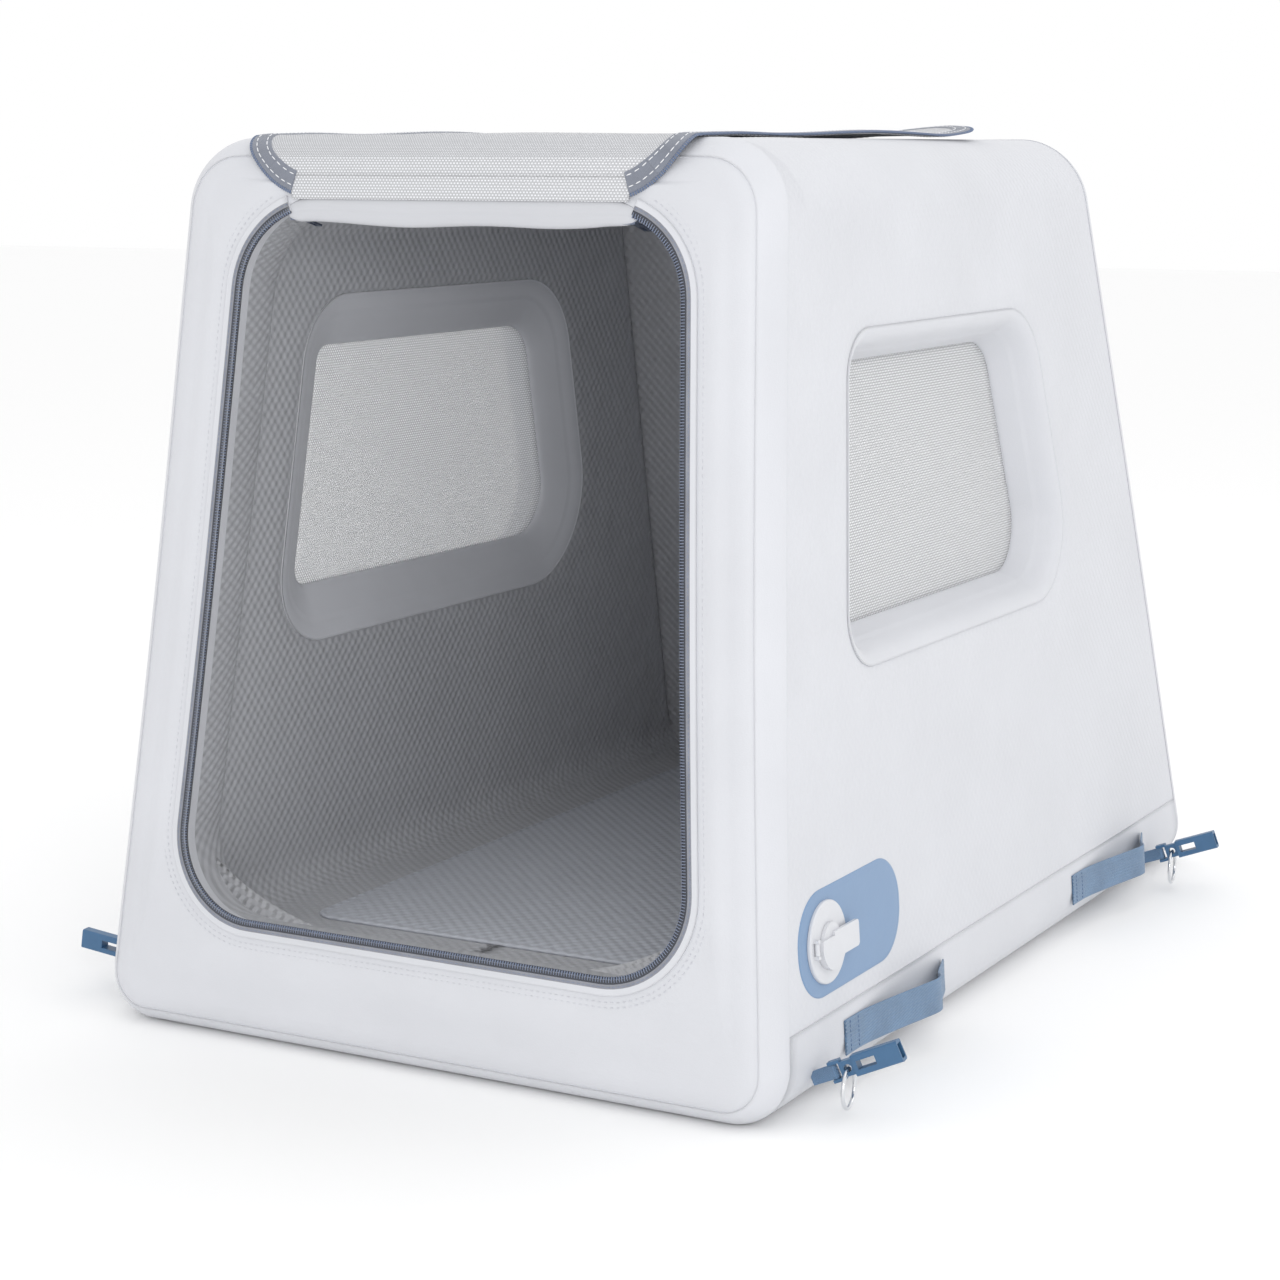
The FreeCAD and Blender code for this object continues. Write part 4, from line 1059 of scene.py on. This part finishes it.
def zip_line(inset, out):
    """The doorway's line without its hinge, at an inset and a distance out."""
    return breathe(doorway_ring([inset], [out])[0][order])


def zip_strip(start, stop, out, count):
    """A strip beside the doorway's line, from one inset to another."""
    insets = np.linspace(start, stop, count)
    return breathe(doorway_ring(insets, np.broadcast_to(out, (count,)))[:, order])


# the tape's strips from its outer edge inwards: covered in the shell's cloth, bare, and under the coil, where
# the near-black colour is painted shade
TAPE_STRIPS = [0, 0, 0, 1, 1, 2, 2]
TAPE_LIFT = 0.0008
tape_count = len(TAPE_STRIPS) + 1
tape_rows = zip_strip(0.0, TAPE_WIDTH + 0.001, TAPE_LIFT, tape_count)
tape_normals = np.broadcast_to(slope_normal, tape_rows.shape)
zip_length = running_length(zip_line(0.0, 0.0))
tape_uv = woven_uv(zip_length[None, :], np.linspace(0, 0.012, tape_count)[:, None])
rounded_edge = TAPE_LIFT * np.sin(np.linspace(0.25, 1, tape_count) * np.pi / 2)[:, None]
tape = skin_surface(
    "doorway_zip_tape_cloth", tape_rows, tape_normals, -0.0012, rounded_edge, tape_uv,
    parts=np.repeat(TAPE_STRIPS, len(order) - 1),
    materials=[smooth_fabric, tape_edge_fabric, zip_bed_fabric_painted_shade], slot="binding_fabric")
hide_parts("doorway_zip_tape")
# a near-black strip under the coil teeth: painted shade
bed_rows = zip_strip(TAPE_WIDTH - 0.0008, TAPE_WIDTH + COIL_WIDTH - 0.0006, 0.0, 4)
skin_surface(
    "doorway_zip_bed", bed_rows, np.broadcast_to(slope_normal, bed_rows.shape), -0.0014, -0.0002,
    woven_uv(zip_length[None, :], np.linspace(0, 0.004, 4)[:, None]),
    materials=[zip_bed_fabric_painted_shade], slot="zip_plastic")
COIL_START, COIL_LIFT = 0.0090, 0.0006
DOORWAY_TOOTH, DOORWAY_TOOTH_PITCH = (TAPE_WIDTH + COIL_WIDTH - COIL_START, 0.0010, 0.0028), 0.0022
coil_line = zip_line((COIL_START + TAPE_WIDTH + COIL_WIDTH) / 2, COIL_LIFT)
slope_rows = np.broadcast_to(slope_normal, coil_line.shape)
coil = repeated("doorway_zip_teeth", coil_line, slope_rows, DOORWAY_TOOTH_PITCH, DOORWAY_TOOTH,
                coil_plastic, "zip_plastic", across=True)
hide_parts("doorway_zip_coil")
for number, inset in enumerate((-0.0045, -0.0085)):
    repeated(f"doorway_stitches_{number}", zip_line(inset, COIL_LIFT), slope_rows, SHELL_PITCH,
             SHELL_STITCH, white_thread, "smooth_fabric", margin=0.012)
repeated("doorway_tape_stitches", zip_line(0.0066, 0.0016), slope_rows, TAPE_PITCH,
         TAPE_STITCH, coil_plastic, "binding_fabric")

# %% [markdown]
# ## The door, folded back over the roof
# The door is one sheet with a bound edge. Flat, it is the doorway's own outline; open, it
# goes up from its hinge, round the roof's front edge and back along the roof. So every
# part of it is drawn flat, as a distance across and a distance from the hinge, and one
# function bends the flat cloth into place.

# %% The door's path
DOOR_OFFSET = 0.0024
BEND_RADIUS = 0.022
DOOR_INSET = TAPE_WIDTH + COIL_WIDTH + 0.0005
hinge_z = HINGE_V / FRONT_STRETCH
door_corners = doorway_corners(
    ZIP_INSET + DOOR_INSET / SIDE_STRETCH, ZIP_LOW + DOOR_INSET / FRONT_STRETCH, hinge_z)
door_flat, door_flat_normal = rounded_loop(door_corners, [r - DOOR_INSET for r in ZIP_RADII])
DOOR_LENGTH = HINGE_V - door_corners[0][1]
RISE = (HEIGHT + DOOR_OFFSET - FRONT_SLOPE / FRONT_STRETCH * DOOR_OFFSET) * FRONT_STRETCH - HINGE_V
up_slope = np.array([0, FRONT_SLOPE, 1]) / FRONT_STRETCH
hinge_point = slope_point(np.array(0.0), np.array(HINGE_V), np.array(DOOR_OFFSET))
bend_angle = math.pi / 2 - math.atan(FRONT_SLOPE)
BEND_REACH = BEND_RADIUS * math.tan(bend_angle / 2)


def door_place(x, w, lift):
    """Flat cloth to its place: x across, w from the hinge, lift out of its upper face."""
    x, w, lift = np.broadcast_arrays(np.asarray(x, float), np.asarray(w, float), np.asarray(lift, float))
    start = RISE - BEND_REACH
    turn = np.clip((w - start) / (2 * BEND_REACH), 0, 1) * bend_angle
    straight = np.minimum(w, start)
    over = np.maximum(w - start - 2 * BEND_REACH, 0)
    inward = np.array([0, 1, -FRONT_SLOPE]) / FRONT_STRETCH
    place = hinge_point + straight[..., None] * up_slope
    cos_turn, sin_turn = np.cos(turn)[..., None], np.sin(turn)[..., None]
    place = place + BEND_RADIUS * (sin_turn * up_slope + (1 - cos_turn) * inward)
    place = place + over[..., None] * np.array([0, 1, 0])
    out = -inward * cos_turn + up_slope * sin_turn
    # ripples along both sides, the lifted right rear corner, and shallow waves across the width
    far = np.clip(w / DOOR_LENGTH, 0, 1)
    wave = 0.0014 * np.sin(w * 21 + 0.7) * np.clip(np.abs(x) / 0.18, 0, 1) ** 2 * ease((w - 0.08) / 0.1)
    wave = wave + 0.0075 * ease((far - 0.80) / 0.20) * ease((x / 0.20 - 0.35) / 0.6)
    wave = wave + 0.0018 * ease((far - 0.10) / 0.2) * np.cos(x * 15) ** 2
    place = place + out * (lift + wave)[..., None]
    # the sides bulge out a little on the way over the roof's edge, the left one more
    bulge = np.sin(np.pi * np.clip(w / 0.085, 0, 1)) * (x / 0.17) * np.abs(x / 0.17)
    place[..., 0] += x + np.where(x < 0, 0.003, 0.001) * bulge
    return place


def door_half(w):
    """Half the door's width at a distance from the hinge, along its rounded outline."""
    right = door_flat[:, 0] > 0
    distance = HINGE_V - door_flat[right, 1]
    order_by = np.argsort(distance)
    return np.interp(w, distance[order_by], door_flat[right, 0][order_by])


BINDING, DOOR_COIL = 0.016, 0.003
SPLIT, BAND_END = 0.018, 0.030
fold_end = door_place(0.0, RISE + 0.032, 0.0)
print("door", round(DOOR_LENGTH, 3), "m long, bends after", round(RISE, 3))

# %% [markdown]
# The sheet is cut in two just above its hinge, because each half bends at one joint
# only: the upper half at the hinge, the lower half where it goes over the roof's edge.

# %% Door mesh
EDGE_COVER = DOOR_COIL + BINDING - 0.003


def mesh_half(w):
    """Half the mesh's width: the door's, less a little so its edge lies inside the binding."""
    return np.maximum(door_half(w) - 0.006, HINGE_HALF - 0.001)


def door_mesh(name, low, high, rows, body_a, nodes):
    """A stretch of the mesh sheet, with a coarser band along the hinge."""
    across = np.linspace(-1, 1, 90)
    w = np.linspace(low, high, rows)[:, None] + 0 * across
    x = across * mesh_half(w)
    points = door_place(x, w, 0.0)
    normals = unit(door_place(x, w, 0.001) - points)
    uv = np.stack([x, w], -1)
    kinds = (w[:-1, :-1].ravel() < BAND_END).astype(int)
    piece = skin_surface(name, points, normals, -0.0004, 0.0004, uv, parts=kinds,
                         materials=[door_mesh_cloth, door_band_cloth], body=body_a, slot="mesh_fabric")
    piece.parent = None
    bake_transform(piece)
    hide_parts(*nodes)
    area = float(np.sum(2 * mesh_half(w[:, 0])) * (high - low) / rows)
    wide = float(2 * mesh_half(w[:, 0]).max())
    return piece, wide, area


upper_mesh, upper_wide, upper_area = door_mesh(
    "door_mesh_at_hinge", 0.0, SPLIT, 10, "root", ["door_mesh_upper"])
LAST_W = DOOR_LENGTH - EDGE_COVER
lower_mesh, lower_wide, lower_area = door_mesh(
    "door_mesh_sheet", SPLIT, LAST_W, 150, "door_upper", ["door_mesh_lower"])

# %% [markdown]
# The bound edge is a folded tape: it is thicker than the mesh, rounded at both edges,
# and sewn with two rows of pale thread. Outside it runs the door's half of the zip.

# %% Bound edge, thread and coil
on_hinge = (np.abs(door_flat[:, 0]) < HINGE_HALF) & (door_flat[:, 1] > HINGE_V - 0.03)
last_hinge = int(np.flatnonzero(on_hinge & ~np.roll(on_hinge, -1))[0])
way_round = np.roll(np.arange(len(door_flat)), -last_hinge)
flat_line, flat_out = door_flat[way_round], door_flat_normal[way_round]
keep_line = ~on_hinge[way_round]
flat_line, flat_out = flat_line[keep_line], flat_out[keep_line]
fine = respace(np.concatenate([flat_line, flat_out], 1), 640)
flat_line, flat_out = fine[:, :2], unit(fine[:, 2:])
flat_w = HINGE_V - flat_line[:, 1]


def edge_runs(upper):
    """The parts of the door's edge above the split, or the one below it."""
    kept = flat_w <= SPLIT + 1e-9 if upper else flat_w >= SPLIT
    number = np.flatnonzero(kept)
    pieces = np.split(number, np.flatnonzero(np.diff(number) > 1) + 1)
    if not upper:
        return [np.arange(max(pieces[0][0] - 1, 0), min(pieces[-1][-1] + 2, len(flat_w)))]
    return pieces


def edge_at(run, inset, lift):
    """The door's edge in place, moved in by inset and out of the sheet by lift."""
    inset, lift = np.asarray(inset, float), np.asarray(lift, float)
    x = flat_line[run, 0] - inset[..., None] * flat_out[run, 0]
    w = flat_w[run] + inset[..., None] * flat_out[run, 1]
    return door_place(x, np.maximum(w, 0.0), lift[..., None] + 0 * x)


def settle(piece, upper):
    """Free a piece of the door's edge from its body and bake its place into its points."""
    piece.parent = None
    if upper:
        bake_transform(piece)
    else:
        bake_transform(piece)
    return piece


def edge_line(run, inset, lift):
    """Lines along the door's edge, one for each inset, and the normals of the sheet there."""
    inset = np.asarray(inset, float)
    line = edge_at(run, inset, np.full(len(inset), lift))
    return line, unit(edge_at(run, inset, np.full(len(inset), lift + 0.001)) - line)


# inset from the door's edge and lift out of the sheet, once round the folded tape
TAPE_PROFILE = np.array([
    (0.0030, -0.0011), (0.0027, 0.0), (0.0030, 0.0011), (0.0075, 0.0013), (0.0110, 0.0012),
    (0.0150, 0.0013), (0.0185, 0.0011), (0.0190, 0.0), (0.0185, -0.0011), (0.0110, -0.0012)])
BED_INSETS, BED_HALF, TOOTH_INSET = np.array([0.0004, 0.0018, 0.0032]), 0.0005, 0.0014
THREAD_INSETS, THREAD_LIFT = (0.0070, 0.0155), 0.0014
tape_profile = soften(np.concatenate([TAPE_PROFILE, TAPE_PROFILE[:1]]), 2)[:-1]
door_pieces = {True: [], False: []}


def bound_edge(upper, side, run):
    """One run of the door's edge: the folded tape, the coil and its bed, and the four rows of thread."""
    part, tag, body = ("hinge", "upper", "root") if upper else ("door", "lower", "door_upper")
    rows = np.swapaxes(edge_at(run, tape_profile[:, 0], tape_profile[:, 1]), 0, 1)
    edge_length = running_length(flat_line[run])
    uv = woven_uv(edge_length[:, None], running_length(tape_profile)[None, :])
    binding = ring_surface(f"{part}_binding_{side}", rows, uv, wrap_rows=False,
                           materials=[binding_fabric], body=body, slot="binding_fabric")
    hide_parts(f"door_binding_{tag}")
    door_pieces[upper].append(settle(binding, upper))

    bed, bed_normals = edge_line(run, BED_INSETS, 0.0)
    bed_uv = woven_uv(edge_length[None, :], np.array([0, 0.0015, 0.003])[:, None])
    coil_bed = skin_surface(f"{part}_coil_bed_{side}", bed, bed_normals, -BED_HALF, BED_HALF, bed_uv,
                            materials=[zip_tape_fabric], body=body, slot="zip_plastic")
    door_pieces[upper].append(settle(coil_bed, upper))

    line, normals = edge_line(run, [TOOTH_INSET], 0.0)
    # the door's coil teeth are darkened as painted shade
    teeth = repeated(f"{part}_coil_teeth_{side}", line[0], normals[0], DOOR_TOOTH_PITCH, DOOR_TOOTH,
                     edge_coil_plastic_painted_shade, "zip_plastic", body=body, across=True)
    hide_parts(f"door_coil_{tag}")
    door_pieces[upper].append(settle(teeth, upper))

    for face, lift in (("top", THREAD_LIFT), ("under", -THREAD_LIFT)):
        for number, inset in enumerate(THREAD_INSETS):
            line, normals = edge_line(run, [inset], lift)
            sewn = repeated(f"{part}_thread_{face}_{side}_{number}", line[0], normals[0], DOOR_PITCH,
                            DOOR_STITCH, pale_thread, "binding_fabric", body=body)
            door_pieces[upper].append(settle(sewn, upper))


for upper in (True, False):
    for side, run in enumerate(edge_runs(upper)):
        bound_edge(upper, side, run)

# %% [markdown]
# The header is the soft roll under the doorway's top edge. It is a closed profile carried
# across the doorway; its lower edge sags a little and its ends close up to a point.

# %% Header
# height from the hinge line and distance out of the slope, once round the roll
HEADER_PROFILE = np.array([
    (0.0030, 0.0006), (0.0010, 0.0011), (-0.0040, 0.0012), (-0.0075, 0.0002), (-0.0105, 0.0009),
    (-0.0150, -0.0004), (-0.0172, -0.0028), (-0.0165, -0.0062), (-0.0120, -0.0088), (-0.0045, -0.0092),
    (-0.0012, -0.0060), (-0.0008, -0.0006)])
HEADER_REACH = HINGE_HALF + 0.006
profile = soften(np.concatenate([HEADER_PROFILE, HEADER_PROFILE[:1]]), 2)[:-1]
run = np.linspace(-1, 1, 120)
end_close = np.sqrt(np.clip(1 - np.abs(run) ** 14, 0.02, 1))
sag = 0.0010 * np.sin(run * 7.0 + 0.6) - 0.0022 * (1 - run ** 2)
x = run[:, None] * HEADER_REACH + 0 * profile[:, 0]
corner = ZIP_RADII[2] - 0.004
past = np.maximum(np.abs(x) - DOORWAY_STRAIGHT, 0)
v = HINGE_V + profile[:, 0] * end_close[:, None] - (corner - np.sqrt(corner ** 2 - past ** 2))
v = v + (sag * end_close)[:, None] * np.clip(-profile[:, 0] / 0.016, 0, 1)
tucked = 0.0008 * ease((np.abs(x) - 0.128) / 0.018)
out = profile[:, 1] * end_close[:, None] - tucked
header_points = breathe(slope_point(x, v, out))
header_uv = woven_uv(x[:, :1], running_length(profile)[None, :])
# the header's darker cloth is painted shade
header = ring_surface("door_header_roll", header_points, header_uv, wrap_rows=False,
                      materials=[header_fabric_painted_shade], slot="smooth_fabric")
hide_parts("door_header")

# %% [markdown]
# ## Floor mat
# A thin quilted pad that lies in the cabin. It is a rounded outline shrunk to a point on
# its top and on its underside, with a soft welt round its edge.

# %% Floor mat
low_corner, high_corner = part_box("floor_mat")
MAT_MARGIN, MAT_RADIUS = 0.062, 0.020
mat_half = half_width(FLOOR_TOP) - WALL - MAT_MARGIN
mat_corners = [(-mat_half, low_corner[1]), (mat_half, low_corner[1]),
               (mat_half, high_corner[1]), (-mat_half, high_corner[1])]
mat_loop, mat_normal = rounded_loop(mat_corners, [MAT_RADIUS] * 4)
# inset from the mat's edge and height above the floor, from the top to the underside
mat_profile = soften([(0.0170, 0.0034), (0.0120, 0.0031), (0.0060, 0.0024), (0.0035, 0.0032),
                      (0.0010, 0.0028), (0.0, 0.0015), (0.0010, 0.0001)], 2)
edge_rows = np.stack([
    np.concatenate([mat_loop - one[0] * mat_normal, np.full((len(mat_loop), 1), FLOOR_TOP + one[1])], 1)
    for one in mat_profile])
centre = edge_rows[0].mean(0)
share = np.linspace(0.02, 1, 26)[:-1, None, None]
top_rows = centre + (edge_rows[0] - centre) * share
low_centre = edge_rows[-1].mean(0)
under = low_centre + (edge_rows[-1] - low_centre) * np.linspace(1, 0.02, 8)[1:, None, None]
mat_points = np.concatenate([top_rows, edge_rows, under])
mat_piece = ring_surface("floor_mat_pad", mat_points, mat_points[..., :2].copy(), wrap_rows=False,
                         materials=[mat_fabric], slot="mat_fabric")
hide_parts("floor_mat")

# %% [markdown]
# ## Valve patch
# The patch is welded flat on the wall, with a rim that is pressed a little deeper. It is
# a long outline with round ends, shrunk in rows towards the hole for the valve.

# %% Valve patch
VALVE_Y, VALVE_Z = -0.375, 0.122
valve_v = VALVE_Z * SIDE_STRETCH
PATCH_FRONT, PATCH_REAR, PATCH_HALF, PATCH_RADIUS, PATCH_HOLE = -0.044, 0.134, 0.040, 0.038, 0.0131
patch_box = [(PATCH_FRONT, -PATCH_HALF), (PATCH_REAR, -PATCH_HALF),
             (PATCH_REAR, PATCH_HALF), (PATCH_FRONT, PATCH_HALF)]
patch_loop, patch_normal = rounded_loop(patch_box, [PATCH_RADIUS] * 4)
hole = PATCH_HOLE * unit(patch_loop)
# inset from the patch's edge and height above the wall
patch_profile = [(0.0, 0.00005), (0.0004, 0.0006), (0.0016, SKIN), (0.0030, 0.0006), (0.0045, SKIN)]
rows = [patch_loop - one[0] * patch_normal for one in patch_profile]
heights = [np.full(len(patch_loop), one[1]) for one in patch_profile]
for share in np.linspace(0, 1, 16)[1:]:
    rows.append(rows[len(patch_profile) - 1] * (1 - share) + hole * share)
    heights.append(np.full(len(patch_loop), SKIN))
rows, heights = np.stack(rows), np.stack(heights)
patch_points = side_point(rows[..., 0] + VALVE_Y, rows[..., 1] + valve_v, -heights)
patch_under = side_point(rows[..., 0] + VALVE_Y, rows[..., 1] + valve_v, np.full_like(heights, 0.0002))
patch_all = np.concatenate([breathe(patch_points), breathe(patch_under)[::-1]])
patch_uv = np.concatenate([rows, rows[::-1]])
patch = ring_surface("valve_patch_cloth", patch_all, patch_uv, materials=[patch_fabric], slot="patch_fabric")
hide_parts("valve_patch")

# %% [markdown]
# ## Webbing
# Each loop is a strap sewn flat at one end, bowed out so that a strap can be threaded
# behind it, and turned back into the wall. Its path is drawn as a few points, softened,
# and the strap's ribbed cross-section is carried along it.

# %% Webbing loops
LOOP_LENGTH, LOOP_BULGE, LOOP_Z, WEBBING_WIDTH, WEBBING_THICK = 0.185, 0.0220, 0.043, 0.027, 0.0016
RIB_DEPTH, STITCH_HALF = 0.00028, 0.0125


def strap(name, path, path_side, width, thick, ribs, rows=70):
    """A strap along a path: path_side is its width direction, and ribs run lengthwise."""
    path = respace(path, rows)
    way = unit(np.gradient(path, axis=0))
    side = unit(np.broadcast_to(path_side, path.shape) - way * (way @ path_side)[:, None])
    out = np.cross(way, side)
    across = np.linspace(-1, 1, ribs * 6 + 1)
    rib = RIB_DEPTH * (np.cos(across * ribs * np.pi) * 0.5 - 0.5) * (np.abs(across) < 0.93)
    edge = np.sqrt(np.clip(1 - np.abs(across) ** 24, 0.02, 1))
    over = np.stack([across * width / 2, (thick / 2 + rib) * edge], -1)
    under = np.stack([across[::-1] * width / 2, -(thick / 2 + rib[::-1]) * edge[::-1]], -1)
    ring = np.concatenate([over, under])
    points = path[:, None] + ring[None, :, :1] * side[:, None] + ring[None, :, 1:] * out[:, None]
    uv = woven_uv(running_length(path)[:, None], ring[None, :, 0])
    piece = ring_surface(name, points, uv, wrap_rows=False, materials=[webbing_fabric], slot="webbing")
    return piece, path, out, side


# share of the loop's length and distance out of the wall
sewn_out = SKIN + WEBBING_THICK / 2
loop_shape = soften([
    (0.0, sewn_out), (0.10, sewn_out), (0.20, sewn_out + 0.001), (0.42, 0.0105),
    (0.62, LOOP_BULGE - 0.003), (0.70, LOOP_BULGE + 0.0002), (0.755, LOOP_BULGE - 0.0015),
    (0.80, LOOP_BULGE - 0.008), (0.90, 0.0085), (1.0, sewn_out + 0.0010)], 3)
up_wall = np.array([-SIDE_SLOPE, 0, 1]) / SIDE_STRETCH
for end, start_y in (("front", -0.352), ("rear", 0.130)):
    loop_path = side_point(start_y + loop_shape[:, 0] * LOOP_LENGTH,
                           np.full(len(loop_shape), LOOP_Z * SIDE_STRETCH), -loop_shape[:, 1])
    for side, left in SIDES:
        webbing, path, out, across = strap(
            f"webbing_strap_{end}_{side}", handed(loop_path, left), handed(up_wall, left),
            WEBBING_WIDTH, WEBBING_THICK, 9)
        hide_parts(f"webbing_{end}_{side}")
        outer = out * np.sign(np.sum(out[:, 0]) * (-1 if left else 1))
        for number, at in enumerate((0.010, 0.022)):
            row = int(at / LOOP_LENGTH * len(path))
            reach = np.linspace(-STITCH_HALF, STITCH_HALF, 12)[:, None]
            cross_line = path[row] + reach * across[row] + outer[row] * (WEBBING_THICK / 2)
            repeated(f"webbing_stitches_{end}_{side}_{number}", cross_line,
                     np.broadcast_to(outer[row], cross_line.shape), WEBBING_PITCH, WEBBING_STITCH,
                     blue_thread, "webbing")

# %% Clip tabs
# whether the clip is on the left, its place along the body, and its swing and pitch in degrees
CLIPS = {"front_right": (False, -0.400, 8.0, 24.0), "front_left": (True, -0.400, -6.0, 8.0),
         "rear_right": (False, 0.333, 8.0, 20.0), "rear_left": (True, 0.333, 8.0, 12.0)}
CLIP_Z, STAND_OFF, EYE_RADIUS, TAB_THICK, TAB_WIDTH = 0.034, 0.015, 0.0020, 0.0024, 0.0104


def clip_axes(swing, pitch):
    """The right-hand clip's directions: along it, across its thickness, and across its width."""
    a, b = math.radians(swing), math.radians(pitch)
    along = np.array([math.cos(a) * math.cos(b), math.sin(a) * math.cos(b), math.sin(b)])
    thick = np.array([-math.sin(a), math.cos(a), 0])
    return along, thick, np.cross(along, thick)


for name, (left, clip_y, swing, pitch) in CLIPS.items():
    along, thick, wide = clip_axes(swing, pitch)
    bar = np.array([half_width(CLIP_Z) + STAND_OFF, clip_y, CLIP_Z])
    middle = EYE_RADIUS + TAB_THICK / 4
    turn = np.linspace(-0.72 * np.pi, 0.72 * np.pi, 26)
    eye = bar + middle * (np.cos(turn)[:, None] * along + np.sin(turn)[:, None] * thick)
    inner_end = bar - (STAND_OFF + 0.004) * along
    lower = np.linspace(inner_end - thick * TAB_THICK / 4, eye[0], 9)[:-1]
    upper = np.linspace(eye[-1], inner_end + thick * TAB_THICK / 4, 9)[1:]
    path = np.concatenate([lower, eye, upper])
    tab = strap(f"clip_loop_{name}", handed(path, left), handed(wide, left),
                TAB_WIDTH, TAB_THICK / 2 - 0.0001, 4, 60)[0]
    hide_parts(f"clip_tab_{name}")

# %% [markdown]
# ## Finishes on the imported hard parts
# The clips, rings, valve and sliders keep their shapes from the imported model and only
# get their finishes here.

# %% Hard parts
finishes = {
    "clip_front": clip_plastic, "clip_rear": clip_plastic, "ring_": ring_metal,
    "valve_flange": valve_plastic, "valve_tube": valve_plastic, "valve_spider": valve_plastic,
    "valve_stem": valve_plastic, "valve_cap_pin": spring_metal, "valve_cap": valve_plastic,
    "valve_seal": seal_rubber, "valve_spring": spring_metal,
    "zip_slider": slider_metal, "zip_pull": slider_metal}
for node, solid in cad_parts.items():
    for start, material in finishes.items():
        if node.startswith(start):
            solid.data.materials.clear()
            solid.data.materials.append(material)
            break

# %% [markdown]
# ## Studio
# A pale floor and a bright, even surround give the soft shadows of a product picture.
# A lamp low in front, one at the right side and a wide one overhead shape the edges.

# %% Floor and light
floor_data = bpy.data.meshes.new("studio_floor")
REACH = 14.0
floor_corners = [(-REACH, -REACH, 0), (REACH, -REACH, 0), (REACH, REACH, 0), (-REACH, REACH, 0)]
floor_data.from_pydata(floor_corners, [], [(0, 1, 2, 3)])
studio_floor = bpy.data.objects.new("studio_floor", floor_data)
bpy.context.scene.collection.objects.link(studio_floor)
floor_shader = Shader("studio_floor", 0.9)
floor_data.materials.append(floor_shader.finish((0.97, 0.97, 0.97)))

world = bpy.data.worlds.new("studio")
world.use_nodes = True
world.node_tree.nodes["Background"].inputs["Color"].default_value = (1.0, 1.0, 1.0, 1)
world.node_tree.nodes["Background"].inputs["Strength"].default_value = 1.0
bpy.context.scene.world = world


def lamp(name, place, aim, size, power):
    """A square area lamp at a place, turned to a point."""
    data = bpy.data.lights.new(name, "AREA")
    data.size, data.energy = size, power
    made = bpy.data.objects.new(name, data)
    made.location = place
    made.rotation_mode = "QUATERNION"
    made.rotation_quaternion = (Vector(aim) - Vector(place)).to_track_quat("-Z", "Y")
    bpy.context.scene.collection.objects.link(made)
    return made


lamp("key_lamp", (1.6, -2.4, 1.0), (-0.1, -0.2, 0.35), 0.8, 13)
lamp("side_lamp", (2.2, 0.6, 1.6), (0.2, 0.1, 0.4), 1.4, 4)
lamp("top_lamp", (0.2, 0.2, 3.2), (0, 0, 0.3), 3.4, 9)
bpy.context.scene.view_settings.view_transform = "Standard"
